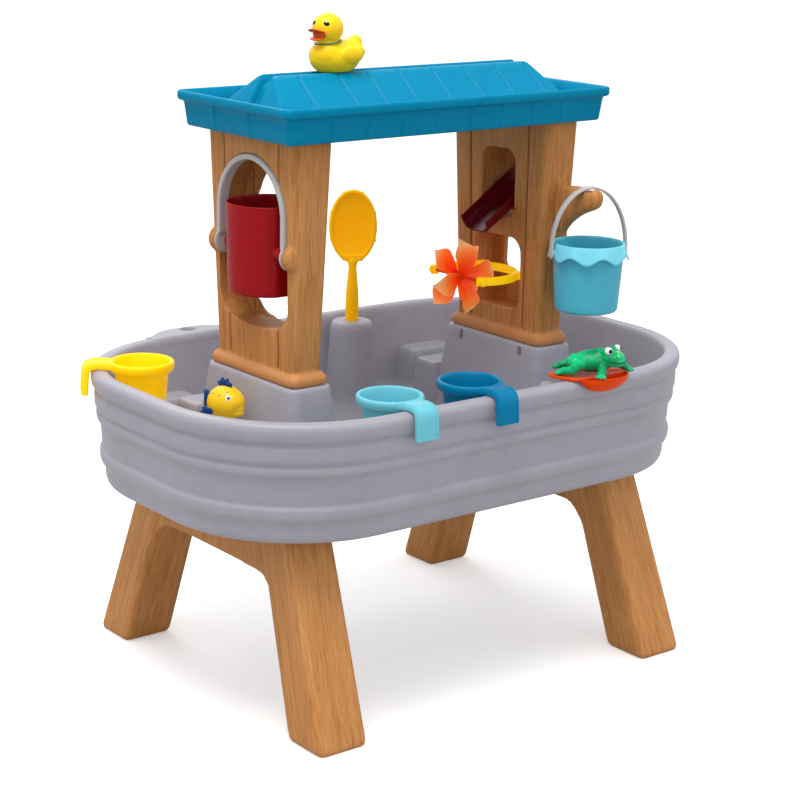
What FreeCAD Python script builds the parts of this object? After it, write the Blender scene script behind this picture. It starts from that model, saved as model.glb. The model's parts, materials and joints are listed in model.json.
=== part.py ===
import FreeCAD, Part
import math
import os

# Water play table: a rounded tub on two splayed leg frames, two towers standing in the tub
# under a roof tray, and loose toys.  Millimetres, +X right, +Y back, +Z up, floor at Z = 0.
# It is drawn about the tub's centre.  The written pieces are shifted so that the origin lies
# on the floor below the middle of the assembled table's overall box.

V = FreeCAD.Vector
Y_AXIS, Z_AXIS = V(0, 1, 0), V(0, 0, 1)
SIDES = (-1, 1)

SHIFT_X, SHIFT_Y = 0.0, 1.3

# Tub
TUB_HALF_LENGTH, TUB_HALF_WIDTH, TUB_CORNER_R = 440.0, 282.0, 217.0
RIM_Z, RIM_WIDTH = 457.0, 18.0
WALL = 4.5
FLOOR_Z = 325.0
FLOOR_UNDERSIDE = FLOOR_Z - WALL

# Heights and places shared by several pieces
LEG_TOP_Z = 306.0
TOWER_X = 225.8                  # either side of the middle
TRIM_BOTTOM_Z = 459.5            # top of the pedestals, underside of the tower trim
TOWER_TOP_Z = 800.6
RUN = 0.05                       # radial running clearance

# Screws
SCREW_R, SCREW_HOLE_R = 2.0, 2.1
HEAD_GAP = 0.05                  # between a screw head and its seat
LEG_SCREW_X, LEG_SCREW_YS = 286.0, (-95.0, -32.0, 32.0, 95.0)
TOWER_SCREW_Y, TOWER_SCREW_Z = 69.0, 444.0


# ---------------------------------------------------------------------------
# Helpers
# ---------------------------------------------------------------------------
def rounded_rect(x, y, half_x, half_y, radius, z):
    """Rounded rectangle in a horizontal plane, eight edges."""
    radius = min(radius, half_x - 0.05, half_y - 0.05)
    corners = []
    for side_x, side_y, start in [(1, 1, 0), (-1, 1, 90), (-1, -1, 180), (1, -1, 270)]:
        centre_x = x + side_x * (half_x - radius)
        centre_y = y + side_y * (half_y - radius)
        arc = []
        for angle in (start, start + 45, start + 90):
            turn = math.radians(angle)
            arc.append(V(centre_x + radius * math.cos(turn), centre_y + radius * math.sin(turn), z))
        corners.append(arc)
    edges = []
    for i, arc in enumerate(corners):
        edges.append(Part.Arc(*arc).toShape())
        edges.append(Part.makeLine(arc[2], corners[(i + 1) % 4][0]))
    return Part.Wire(edges)


def loft(wires):
    """Solid, ruled loft."""
    return Part.makeLoft(wires, True, True)


def rect_loft(sections):
    """Loft through rounded rectangles: (x, y, half_x, half_y, radius, z)."""
    return loft([rounded_rect(*section) for section in sections])


def rounded_prism(x, y, half_x, half_y, radius, z0, z1):
    return rect_loft([(x, y, half_x, half_y, radius, z) for z in (z0, z1)])


def box(x0, x1, y0, y1, z0, z1):
    """Box between two x, two y (each in either order) and two z."""
    return Part.makeBox(abs(x1 - x0), abs(y1 - y0), z1 - z0, V(min(x0, x1), min(y0, y1), z0))


def rod_x(radius, y, z, x0, x1):
    return Part.makeCylinder(radius, abs(x1 - x0), V(min(x0, x1), y, z), V(1, 0, 0))


def rod_y(radius, x, z, y0, y1):
    return Part.makeCylinder(radius, abs(y1 - y0), V(x, min(y0, y1), z), Y_AXIS)


def rod_z(radius, x, y, z0, z1):
    return Part.makeCylinder(radius, z1 - z0, V(x, y, z0), Z_AXIS)


def cone_z(radius0, radius1, x, y, z0, z1):
    return Part.makeCone(radius0, radius1, z1 - z0, V(x, y, z0))


def polygon_face(points):
    return Part.Face(Part.makePolygon([V(*p) for p in points] + [V(*points[0])]))


def prism_x(outline, x0, x1):
    """Outline of (y, z) points, extruded along X."""
    return polygon_face([(x0, y, z) for y, z in outline]).extrude(V(x1 - x0, 0, 0))


def prism_y(outline, y0, y1):
    """Outline of (x, z) points, extruded along Y."""
    return polygon_face([(x, y0, z) for x, z in outline]).extrude(V(0, y1 - y0, 0))


def prism_z(outline, z0, z1):
    """Outline of (x, y) points, extruded along Z."""
    return polygon_face([(x, y, z0) for x, y in outline]).extrude(V(0, 0, z1 - z0))


def revolve_z(profile, x=0.0, y=0.0):
    """Closed outline of (radius, z) points, revolved about the vertical through x, y."""
    solid = polygon_face([(r, 0, z) for r, z in profile]).revolve(V(0, 0, 0), Z_AXIS, 360)
    solid.translate(V(x, y, 0))
    return solid


def spheroid(half_length, radius, steps=16):
    """Faceted solid of revolution about X, centred on the origin."""
    points = []
    for i in range(steps + 1):
        angle = math.pi * i / steps
        z = radius * math.sin(angle) if 0 < i < steps else 0.0
        points.append((half_length * math.cos(angle), 0, z))
    return polygon_face(points).revolve(V(0, 0, 0), V(1, 0, 0), 360)


def placed(shape, x, y, z, turn=0.0, axis=Z_AXIS):
    """Copy of a shape, turned about an axis through the origin and then moved."""
    copy = shape.copy()
    if turn:
        copy.rotate(V(0, 0, 0), axis, turn)
    copy.translate(V(x, y, z))
    return copy


def cut_each(shape, tools):
    for tool in tools:
        shape = shape.cut(tool)
    return shape


def fuse_each(shape, others):
    for other in others:
        shape = shape.fuse(other)
    return shape


def lerp(start, end, share):
    return start + (end - start) * share


def arch_prism(x0, x1, half_width, sill, corner_r, spring):
    """Arched opening in the YZ plane, round at the sill's corners, extruded along X."""
    inner = half_width - corner_r
    top = sill + corner_r
    mid = corner_r * math.sqrt(0.5)
    wire = Part.Wire([
        Part.makeLine(V(x0, -inner, sill), V(x0, inner, sill)),
        Part.Arc(V(x0, inner, sill), V(x0, inner + mid, top - mid),
                 V(x0, half_width, top)).toShape(),
        Part.makeLine(V(x0, half_width, top), V(x0, half_width, spring)),
        Part.Arc(V(x0, half_width, spring), V(x0, 0, spring + half_width),
                 V(x0, -half_width, spring)).toShape(),
        Part.makeLine(V(x0, -half_width, spring), V(x0, -half_width, top)),
        Part.Arc(V(x0, -half_width, top), V(x0, -inner - mid, top - mid),
                 V(x0, -inner, sill)).toShape(),
    ])
    return Part.Face(wire).extrude(V(x1 - x0, 0, 0))


def window_prism(x0, x1, window, grow=0.0):
    """Window (half_y, z0, z1, radius), grown all round and extruded along X."""
    half_y, z0, z1, radius = window
    wire = rounded_rect(0, 0, (z1 - z0) / 2.0 + grow, half_y + grow, radius + grow, 0)
    solid = Part.Face(wire).extrude(V(0, 0, x1 - x0))
    # Swap x and z, so that the prism runs along X.
    solid.transformShape(FreeCAD.Matrix(0, 0, 1, x0,
                                        0, 1, 0, 0,
                                        1, 0, 0, (z0 + z1) / 2.0,
                                        0, 0, 0, 1))
    # The swap mirrors the solid and can leave it inside out.
    if solid.Volume < 0:
        solid.reverse()
    return solid


# ---------------------------------------------------------------------------
# Tub
# ---------------------------------------------------------------------------
# (z, distance inwards from the tub's nominal outline), from the bottom up
OUTER_SKIN = [
    (286.0, 23.0), (290.0, 16.0), (297.0, 13.5), (311.0, 13.0), (318.0, 10.5), (325.0, 7.2),
    (334.0, 7.0), (342.0, 8.4), (370.0, 6.2), (386.0, 5.0), (393.0, 0.5), (400.0, -3.0),
    (411.0, -3.0), (419.0, -1.0), (435.0, -2.2), (440.0, -5.0), (446.0, -5.5), (451.0, -4.8),
    (455.0, -1.5), (RIM_Z, 3.0),
]
# The outer skin's inside, before the wall thickness is added
OUTER_SKIN_INSIDE = [
    (285.0, 23.5), (291.0, 16.5), (298.0, 13.7), (312.0, 13.2), (319.0, 11.0), (326.0, 8.0),
    (342.0, 9.0), (370.0, 7.0), (386.0, 5.5), (394.0, 1.5), (400.0, -1.5), (411.0, -2.0),
    (419.0, -0.2), (435.0, -0.6), (441.0, -3.6), (446.0, -4.2), (451.0, -3.0), (452.5, 0.0),
]
BASIN = [
    (FLOOR_Z, 46.0), (329.0, 36.0), (338.0, 31.0), (390.0, 25.0), (450.0, RIM_WIDTH + 1.5),
    (454.5, RIM_WIDTH - 1.0), (RIM_Z, RIM_WIDTH - 4.0), (460.0, RIM_WIDTH - 4.0),
]
BASIN_SKIN = [(FLOOR_UNDERSIDE, 42.0), (334.0, 27.5), (390.0, 20.5), (450.0, 15.0), (455.5, 11.0)]

VOID_BOTTOM_Z = FLOOR_UNDERSIDE - 1.0     # start of the hollows cut from below
MOULDING_BOTTOM_Z = FLOOR_Z - 2.0         # mouldings start inside the floor

# Pedestals under the towers
PEDESTAL_HX, PEDESTAL_HY = 35.3, 110.3
PEDESTAL_TAPER_HX, PEDESTAL_TAPER_HY = 34.5, 109.5     # tapering sides, at the top
PEDESTAL_SLOPE = 0.125                    # widening per millimetre downwards
PEDESTAL_VOID_TOP = 425.0
SOCKET_HX, SOCKET_HY = 25.0, 98.0         # holds the tower's tongue
POCKET_R, POCKET_DEPTH = 4.5, 5.0         # screw pockets

# Moulded steps behind the pedestals
FRONT_STEP_X, FRONT_STEP_HX = 225.5, 58.5
BACK_STEP_X = 252.0
BACK_STEP_TOP_Z = {1: 388.0, -1: 374.0}

# Round fittings
POST_X, POST_Y = 90.0, 225.0              # net post
POST_HOLE_R = 10.3
RIM_SOCKET_X, RIM_SOCKET_Y, RIM_SOCKET_R = -178.0, 291.0, 10.0
DRAIN_R = 12.5

# Launcher pivot, shared by the tub, the lever, the pin and the frog
LEVER_TURN = -41.0
LEVER_X, LEVER_Y, LEVER_PIVOT_Z = 113.6, -254.5, 452.5
LEVER_PIN_R, LEVER_LUG_R = 2.5, 5.0


def tub_loft(profile, inwards=0.0):
    """Loft through the tub's outline at each (z, inset) of a profile."""
    wires = []
    for z, inset in profile:
        inset += inwards
        wires.append(rounded_rect(0, 0, TUB_HALF_LENGTH - inset, TUB_HALF_WIDTH - inset,
                                  TUB_CORNER_R - inset, z))
    return loft(wires)


def in_lever_frame(shape):
    """Places a shape drawn with x along the lever, outwards, and the pivot above the origin."""
    return placed(shape, LEVER_X, LEVER_Y, 0, LEVER_TURN)


def pedestal(side):
    x = side * TOWER_X
    bottom = FLOOR_UNDERSIDE + 0.5
    spread = PEDESTAL_SLOPE * (TRIM_BOTTOM_Z - bottom)
    return rect_loft([
        (x, 0, PEDESTAL_TAPER_HX + spread, PEDESTAL_TAPER_HY + spread, 16, bottom),
        (x, 0, PEDESTAL_HX, PEDESTAL_HY, 14, TRIM_BOTTOM_Z - 3.0),
        (x, 0, PEDESTAL_HX - 1.8, PEDESTAL_HY - 1.8, 13, TRIM_BOTTOM_Z)])


def pedestal_void(side):
    """Hollow below and socket above."""
    x = side * TOWER_X
    inset = PEDESTAL_SLOPE * (TRIM_BOTTOM_Z - PEDESTAL_VOID_TOP) - WALL
    half_x, half_y = PEDESTAL_TAPER_HX + inset, PEDESTAL_TAPER_HY + inset
    spread = PEDESTAL_SLOPE * (PEDESTAL_VOID_TOP - VOID_BOTTOM_Z)
    hollow = rect_loft([(x, 0, half_x + spread, half_y + spread, 12, VOID_BOTTOM_Z),
                        (x, 0, half_x, half_y, 11, PEDESTAL_VOID_TOP)])
    return hollow.fuse(rounded_prism(x, 0, SOCKET_HX, SOCKET_HY, 9, 420.0, TRIM_BOTTOM_Z + 5))


def steps(side):
    """Two steps behind a pedestal, one against it and one against the back wall."""
    x = side * FRONT_STEP_X
    front = rect_loft([(x, 134, FRONT_STEP_HX + 4, 30, 6, MOULDING_BOTTOM_Z),
                       (x, 132, FRONT_STEP_HX, 27, 6, 392),
                       (x, 131, FRONT_STEP_HX - 3, 24.5, 5, 395)])
    x, top = side * BACK_STEP_X, BACK_STEP_TOP_Z[side]
    back = rect_loft([(x, 233, 50, 25, 6, MOULDING_BOTTOM_Z),
                      (x, 235, 46, 24, 6, top - 3),
                      (x, 236, 43, 22, 5, top)])
    return front.fuse(back)


def step_voids(side):
    x = side * FRONT_STEP_X
    front = rect_loft([(x, 137, FRONT_STEP_HX - 1, 28, 4, VOID_BOTTOM_Z),
                       (x, 134, FRONT_STEP_HX - 5, 25, 4, 388.0)])
    x = side * BACK_STEP_X
    back = rect_loft([(x, 231, 41, 17, 4, VOID_BOTTOM_Z),
                      (x, 232, 38, 16, 4, BACK_STEP_TOP_Z[side] - 5.5)])
    return [front, back]


def net_post():
    return cone_z(41.0, 34.0, POST_X, POST_Y, MOULDING_BOTTOM_Z, 450.0).fuse(
        cone_z(34.0, 31.0, POST_X, POST_Y, 450.0, 453.0))


def launcher_mount(basin_fill):
    """Pad on the basin's front wall with two ears for the lever's pin."""
    pad = rect_loft([(-4, 0, 12, 12, 5, 398), (-8, 0, 24, 18, 8, 436),
                     (-9, 0, 27, 19, 8, 443), (-9, 0, 25, 17, 8, 446)])
    ears = []
    for side in SIDES:
        y0, y1 = side * 9.0 - 2.0, side * 9.0 + 2.0
        ears.append(rod_y(LEVER_LUG_R, 0, LEVER_PIVOT_Z, y0, y1).fuse(
            box(-LEVER_LUG_R, LEVER_LUG_R, y0, y1, 444, LEVER_PIVOT_Z)))
    ears = ears[0].multiFuse(ears[1:])
    return in_lever_frame(pad).common(basin_fill).fuse(in_lever_frame(ears))


def rim_socket_boss():
    """Round boss on the back rim, trimmed clear of the basin."""
    x, y = RIM_SOCKET_X, RIM_SOCKET_Y
    boss = cone_z(8.0, 17.0, x, y - 6.0, 372.0, 412.0)
    boss = boss.fuse(rod_z(17.0, x, y, 411.0, 456.5))
    boss = boss.fuse(cone_z(17.0, 15.0, x, y, 456.5, 458.5))
    return boss.cut(box(x - 40, x + 40, 200, TUB_HALF_WIDTH - 16, 300, 455))


def tower_screw_cuts():
    """Screw pockets and holes in the pedestals' faces towards the middle of the table."""
    cuts = []
    for side in SIDES:
        face = side * (TOWER_X - PEDESTAL_HX)
        x0, x1 = face - side * 6.0, face + side * POCKET_DEPTH
        for y in (-TOWER_SCREW_Y, TOWER_SCREW_Y):
            slot = box(x0, x1, y - POCKET_R, y + POCKET_R, TOWER_SCREW_Z, TRIM_BOTTOM_Z + 2)
            cuts.append(slot.fuse(rod_x(POCKET_R, y, TOWER_SCREW_Z, x0, x1)))
            cuts.append(rod_x(SCREW_HOLE_R, y, TOWER_SCREW_Z, face - side * 3, face + side * 14))
    return cuts


def make_tub():
    tub = tub_loft(OUTER_SKIN).cut(tub_loft(OUTER_SKIN_INSIDE, WALL))
    tub = tub.fuse(tub_loft(BASIN_SKIN)).cut(tub_loft(BASIN))

    # Mouldings in the basin reach into its wall but not through it.
    basin_fill = tub_loft(BASIN[:-1], -2.0)
    all_steps = steps(1).fuse(steps(-1)).common(basin_fill)
    tub = tub.multiFuse([pedestal(1), pedestal(-1), all_steps, net_post().common(basin_fill),
                         launcher_mount(basin_fill), rim_socket_boss()])

    tub = cut_each(tub, [cone_z(36.0, 30.5, POST_X, POST_Y, VOID_BOTTOM_Z, 388.0)]
                   + step_voids(-1) + step_voids(1) + [pedestal_void(1), pedestal_void(-1)])
    tub = cut_each(tub, [
        rod_z(RIM_SOCKET_R, RIM_SOCKET_X, RIM_SOCKET_Y, 360, 480),
        rod_z(POST_HOLE_R, POST_X, POST_Y, 395.0, 465.0),
        in_lever_frame(rod_y(LEVER_PIN_R, 0, LEVER_PIVOT_Z, -12, 12)),
        rod_z(DRAIN_R, 0, 0, 300, 340)])

    # Screw bosses under the floor for the leg frames
    places = [(side * LEG_SCREW_X, y) for side in SIDES for y in LEG_SCREW_YS]
    tub = tub.multiFuse([rod_z(7.0, x, y, LEG_TOP_Z + 0.1, FLOOR_Z - 1.9) for x, y in places])
    tub = cut_each(tub, [rod_z(SCREW_HOLE_R, x, y, LEG_TOP_Z - 1, LEG_TOP_Z + 13)
                         for x, y in places])
    return cut_each(tub, tower_screw_cuts())


# ---------------------------------------------------------------------------
# Leg frames: two splayed hollow legs joined under the tub by a deep arched beam
# ---------------------------------------------------------------------------
# Leg sections at the floor and at the top: centre x, centre y, half x, half y
LEG_FOOT = (301.0, 256.4, 39.0, 38.1)
LEG_TOP = (285.6, 145.2, 36.0, 33.0)
LEG_WALL = 4.0
FOOT_BEVEL, FOOT_BEVEL_H = 7.0, 8.0
BEAM_X0, BEAM_X1 = 252.0, 325.0
# (y, z)
BEAM_OUTLINE = [
    (-141, 196), (-120, 212), (120, 212), (141, 196), (165, 196),
    (150, LEG_TOP_Z - 12), (140, LEG_TOP_Z), (-140, LEG_TOP_Z), (-150, LEG_TOP_Z - 12),
    (-165, 196),
]


def leg_loft(side_x, side_y, stations):
    """Leg loft through stations of (z, distance inwards)."""
    wires = []
    for z, inset in stations:
        x, y, half_x, half_y = [lerp(foot, top, z / LEG_TOP_Z)
                                for foot, top in zip(LEG_FOOT, LEG_TOP)]
        wires.append(rounded_rect(side_x * x, side_y * y, half_x - inset, half_y - inset,
                                  max(11.0 - inset, 3.0), z))
    return loft(wires)


def make_leg_frame(side):
    legs = [leg_loft(side, side_y, [(0.0, FOOT_BEVEL), (FOOT_BEVEL_H, 0.0), (LEG_TOP_Z, 0.0)])
            for side_y in SIDES]
    x0, x1 = sorted((side * BEAM_X0, side * BEAM_X1))
    beam = prism_x(BEAM_OUTLINE, x0, x1)
    # The beam's outer face follows the legs' lean.
    beam = beam.cut(prism_y([(side * (BEAM_X1 - 6.5), LEG_TOP_Z + 1), (side * BEAM_X1, 190),
                             (side * (BEAM_X1 + 20), 190),
                             (side * (BEAM_X1 + 20), LEG_TOP_Z + 1)], -200, 200))
    frame = legs[0].fuse(legs[1]).fuse(beam)

    hollow_top = LEG_TOP_Z - LEG_WALL
    frame = cut_each(frame, [
        leg_loft(side, side_y, [(LEG_WALL, FOOT_BEVEL + LEG_WALL),
                                (FOOT_BEVEL_H + LEG_WALL, LEG_WALL), (hollow_top, LEG_WALL)])
        for side_y in SIDES])
    x0, x1 = side * 257.0, side * 314.0
    frame = frame.cut(box(x0, x1, -115, 115, 180, hollow_top))
    frame = frame.cut(box(x0, x1, -138, 138, 216, hollow_top))
    return cut_each(frame, [
        rod_z(SCREW_HOLE_R, side * LEG_SCREW_X, y, LEG_TOP_Z - 10, LEG_TOP_Z + 2)
        for y in LEG_SCREW_YS])


def screw(length, head_r, head_h):
    """Cross-slot screw, its head's underside at the origin and its shank along +Z."""
    body = revolve_z([
        (0, -head_h), (head_r * 0.7, -head_h), (head_r, -head_h * 0.45), (head_r, 0),
        (SCREW_R, 0), (SCREW_R, length - 1.5), (0.4, length), (0, length)])
    z0, z1 = -head_h - 1, -head_h + 1.0
    return body.cut(box(-2.2, 2.2, -0.5, 0.5, z0, z1).fuse(box(-0.5, 0.5, -2.2, 2.2, z0, z1)))


def make_leg_screws():
    z = LEG_TOP_Z - LEG_WALL - HEAD_GAP
    return Part.makeCompound([placed(screw(15.0, 5.0, 3.0), side * LEG_SCREW_X, y, z)
                              for side in SIDES for y in LEG_SCREW_YS])


# ---------------------------------------------------------------------------
# Towers
# ---------------------------------------------------------------------------
# Wall's half x and half y at two heights; the sides are straight through both
TOWER_LOW_Z, TOWER_LOW_HX, TOWER_LOW_HY = 480.0, 24.0, 95.0
TOWER_HIGH_Z, TOWER_HIGH_HX, TOWER_HIGH_HY = 791.0, 30.3, 108.5
TOWER_WALL, TOWER_CORNER_R = 4.0, 11.0
# (half x, half y, radius, z)
TRIM = [(31.0, 104.5, 12, TRIM_BOTTOM_Z), (32.8, 106.3, 14, 462.5), (33.0, 106.5, 14, 468.0),
        (31.5, 105.0, 13, 473.0), (28.0, 101.5, 12, 476.5), (24.6, 96.0, 10, 478.5)]

TONGUE_GAP = 0.3
TONGUE_HX, TONGUE_HY = SOCKET_HX - TONGUE_GAP, SOCKET_HY - TONGUE_GAP
ROOF_SOCKET_HX, ROOF_SOCKET_HY = 24.0, 70.0
ROOF_TONGUE_GAP = 0.4

# Left tower: arched opening that holds the tipping bucket on two pivots
ARCH_HALF, ARCH_SILL, ARCH_SPRING, ARCH_CORNER_R = 86.0, 534.0, 690.0, 36.0
PIVOT_X, PIVOT_Z, PIVOT_R = -245.0, 641.0, 5.0

# Right tower: windows (half y, z0, z1, corner radius) and the bucket peg
UPPER_WINDOW = (39.0, 648.0, 751.0, 20.0)
LOWER_WINDOW = (55.0, 507.0, 617.0, 20.0)
PEG_X, PEG_HALF_WIDTH = 229.0, 12.0
PEG_PIN_Z, PEG_PIN_R = 690.0, 5.0


def tower_loft(x, stations):
    """Tower wall loft through stations of (z, distance inwards)."""
    wires = []
    for z, inset in stations:
        share = (z - TOWER_LOW_Z) / (TOWER_HIGH_Z - TOWER_LOW_Z)
        wires.append(rounded_rect(x, 0, lerp(TOWER_LOW_HX, TOWER_HIGH_HX, share) - inset,
                                  lerp(TOWER_LOW_HY, TOWER_HIGH_HY, share) - inset,
                                  max(TOWER_CORNER_R - inset, 2.0), z))
    return loft(wires)


def tower(side, tunnels, cuts):
    """Hollow tower; tunnels line its openings and cuts open them."""
    x = side * TOWER_X
    wall = tower_loft(x, [(461.0, 0.0), (TOWER_TOP_Z - 1.0, 0.0), (TOWER_TOP_Z, 1.0)])
    shell = wall.fuse(rect_loft([(x, 0) + section for section in TRIM]))
    shell = shell.cut(tower_loft(x, [(465.0, TOWER_WALL), (TOWER_TOP_Z - TOWER_WALL, TOWER_WALL)]))
    shell = fuse_each(shell, [tunnel.common(wall) for tunnel in tunnels])

    # Hollow tongues down into the pedestal and up into the roof
    lower = rounded_prism(x, 0, TONGUE_HX, TONGUE_HY, 8.7, 427.0, 461.0).cut(
        rounded_prism(x, 0, TONGUE_HX - TOWER_WALL, TONGUE_HY - TOWER_WALL, 6, 426.0, 470.0))
    half_x, half_y = ROOF_SOCKET_HX - ROOF_TONGUE_GAP, ROOF_SOCKET_HY - ROOF_TONGUE_GAP
    upper = rounded_prism(x, 0, half_x, half_y, 6, TOWER_TOP_Z - 0.5, 818.0).cut(
        rounded_prism(x, 0, half_x - TOWER_WALL, half_y - TOWER_WALL, 4, TOWER_TOP_Z, 819.0))
    shell = shell.cut(rounded_prism(x, 0, 19.0, 90.0, 6, 458.0, 468.0))
    shell = shell.fuse(lower).fuse(upper)

    tongue_face = side * (TOWER_X - TONGUE_HX)
    screw_holes = [rod_x(SCREW_HOLE_R, y, TOWER_SCREW_Z, tongue_face - side, tongue_face + side * 5)
                   for y in (-TOWER_SCREW_Y, TOWER_SCREW_Y)]
    return cut_each(shell, cuts + screw_holes)


def make_left_tower():
    tunnel = arch_prism(-270.0, -185.0, ARCH_HALF + TOWER_WALL, ARCH_SILL - TOWER_WALL,
                        ARCH_CORNER_R + TOWER_WALL, ARCH_SPRING)
    # The opening is narrower on the side towards the middle of the table.
    outer_arch = arch_prism(-275.0, -207.0, ARCH_HALF, ARCH_SILL, ARCH_CORNER_R, ARCH_SPRING)
    inner_arch = arch_prism(-208.0, -180.0, 70.0, ARCH_SILL, ARCH_CORNER_R, ARCH_SPRING)
    body = tower(-1, [tunnel], [outer_arch, inner_arch])
    for side in SIDES:
        body = body.fuse(rod_y(21.0, PIVOT_X, PIVOT_Z, side * 86.2, side * 98.5))
        body = body.fuse(Part.makeCone(21.0, 15.0, 3.0, V(PIVOT_X, side * 98.5, PIVOT_Z),
                                       V(0, side, 0)))
    return cut_each(body, [rod_y(PIVOT_R + RUN, PIVOT_X, PIVOT_Z, side * 85.0, side * 94.0)
                           for side in SIDES])


def make_right_tower():
    windows = (UPPER_WINDOW, LOWER_WINDOW)
    tunnels = [window_prism(185.0, 270.0, window, TOWER_WALL) for window in windows]
    cuts = [window_prism(180.0, 275.0, window) for window in windows]
    cuts.append(rod_y(PEG_PIN_R + 0.1, PEG_X, PEG_PIN_Z, -112.0, -98.0))
    return tower(1, tunnels, cuts)


def make_tower_screws():
    screws = []
    for side in SIDES:
        x = side * (TOWER_X - PEDESTAL_HX + side * side * (POCKET_DEPTH - HEAD_GAP))
        for y in (-TOWER_SCREW_Y, TOWER_SCREW_Y):
            screws.append(placed(screw(11.0, 4.0, 2.4), x, y, TOWER_SCREW_Z, 90 * side, Y_AXIS))
    return Part.makeCompound(screws)


# Upturned hook on the right tower's front face: (y, z)
PEG_SIDE = [
    (-101.8, 632.0), (-105.4, 716.0), (-112.0, 718.0), (-122.0, 712.0), (-136.0, 706.0),
    (-152.0, 703.8), (-177.0, 703.8), (-182.0, 707.5), (-187.0, 710.5), (-191.0, 710.0),
    (-194.0, 706.5), (-195.5, 700.0), (-194.0, 693.0), (-187.0, 686.0), (-170.0, 677.0),
    (-150.0, 668.0), (-131.0, 660.0), (-118.0, 649.0), (-110.0, 638.0), (-107.0, 632.0),
]


def make_bucket_peg():
    hook = prism_x(PEG_SIDE, PEG_X - PEG_HALF_WIDTH, PEG_X + PEG_HALF_WIDTH)
    return hook.fuse(rod_y(PEG_PIN_R, PEG_X, PEG_PIN_Z, -108.0, -99.0))


# ---------------------------------------------------------------------------
# Roof tray
# ---------------------------------------------------------------------------
ROOF_BOTTOM_Z, ROOF_RIM_Z, RIDGE_Z = 800.8, 850.7, 879.0
# (half x, half y, radius, z)
ROOF_OUTSIDE = [
    (279.5, 126.2, 6, ROOF_BOTTOM_Z), (281.2, 127.9, 6.5, ROOF_BOTTOM_Z + 2.5),
    (285.0, 131.7, 7, 836.0), (289.8, 136.8, 8.5, 836.6), (292.0, 139.1, 9.5, 839.5),
    (292.1, 139.3, 9.5, 847.5), (290.5, 137.7, 9, ROOF_RIM_Z),
]
ROOF_INSIDE = [
    (272.0, 118.5, 5, 806.0), (277.5, 124.0, 5, 809.0), (280.5, 127.2, 5, 840.0),
    (284.5, 131.5, 6, 848.0), (287.5, 134.7, 7, ROOF_RIM_Z + 1.0),
]
# Lengthwise groove in the ridge and the rib that backs it: (y, z)
GROOVE = [(-11.0, RIDGE_Z + 2), (-6.5, RIDGE_Z - 9.0), (6.5, RIDGE_Z - 9.0), (11.0, RIDGE_Z + 2)]
GROOVE_RIB = [(-13.0, RIDGE_Z - 4), (-9.5, RIDGE_Z - 13.5), (9.5, RIDGE_Z - 13.5),
              (13.0, RIDGE_Z - 4)]
SOCKET_WALL = 3.0
RIB_HALF = 1.5
DRIP_XS, DRIP_Y, DRIP_R = (-170.0, -85.0, 0.0, 85.0, 170.0), 114.5, 1.6


def hump(inset, bottom):
    """Long hipped hump; the inset shrinks it for the hollow underneath."""
    wires = []
    for half_x, half_y, z in [
            (272.5 - inset * 1.3, 110.0 - inset * 1.4, bottom),
            (228.0 - inset * 0.9, 19.0 - inset * 0.55, RIDGE_Z - inset * 1.1)]:
        wires.append(Part.makePolygon([
            V(-half_x, -half_y, z), V(half_x, -half_y, z), V(half_x, half_y, z),
            V(-half_x, half_y, z), V(-half_x, -half_y, z)]))
    return loft(wires)


def roof_socket(side):
    """Capped socket for a tower's upper tongue, with three ribs to the roof's edges."""
    x = side * TOWER_X
    z0, z1, rib_top = ROOF_BOTTOM_Z + 0.2, 824.0, 812.0
    half_x, half_y = ROOF_SOCKET_HX + SOCKET_WALL, ROOF_SOCKET_HY + SOCKET_WALL
    collar = rounded_prism(x, 0, half_x, half_y, 8, z0, z1).cut(
        rounded_prism(x, 0, ROOF_SOCKET_HX, ROOF_SOCKET_HY, 6, 790.0, 830.0))
    cap = rounded_prism(x, 0, half_x, half_y, 8, z1 - SOCKET_WALL, z1)
    back_rib = box(x - RIB_HALF, x + RIB_HALF, half_y - 0.5, 108.0, z0, rib_top)
    front_rib = box(x - RIB_HALF, x + RIB_HALF, -108.0, 0.5 - half_y, z0, rib_top)
    end_rib = box(x + side * (half_x - 0.5), side * 270.0, -RIB_HALF, RIB_HALF, z0, rib_top)
    return [collar, cap, back_rib, front_rib, end_rib]


def make_roof_tray():
    outside = rect_loft([(0, 0) + section for section in ROOF_OUTSIDE])
    inside = rect_loft([(0, 0) + section for section in ROOF_INSIDE])
    hump_outside = hump(0.0, 804.0)
    roof = outside.cut(inside).fuse(hump_outside)
    roof = roof.cut(hump(4.0, ROOF_BOTTOM_Z - 1.0))
    roof = roof.fuse(prism_x(GROOVE_RIB, -262, 262).common(hump_outside))
    roof = roof.cut(prism_x(GROOVE, -300, 300))
    roof = roof.multiFuse(roof_socket(-1) + roof_socket(1))
    return cut_each(roof, [rod_z(DRIP_R, x, side * DRIP_Y, 795.0, 815.0)
                           for x in DRIP_XS for side in SIDES])


# ---------------------------------------------------------------------------
# Tipping bucket, its arched handle and its two pivot pins
# ---------------------------------------------------------------------------
BUCKET_X = -TOWER_X
BUCKET_TOP_Z, BUCKET_BOTTOM_Z = 705.7, 578.5
BUCKET_TOP_R, BUCKET_BOTTOM_R = 60.6, 57.2
BUCKET_WALL = 2.4
BUCKET_FLAT_Y = 55.6             # the two sides that carry the hubs are flattened
HANDLE_OUT, HANDLE_IN = 84.3, 75.4
HANDLE_X0, HANDLE_X1 = -258.5, -244.5


def flattened(profile, half_y):
    return revolve_z(profile, BUCKET_X).common(box(-400, 0, -half_y, half_y, 500, 800))


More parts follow.
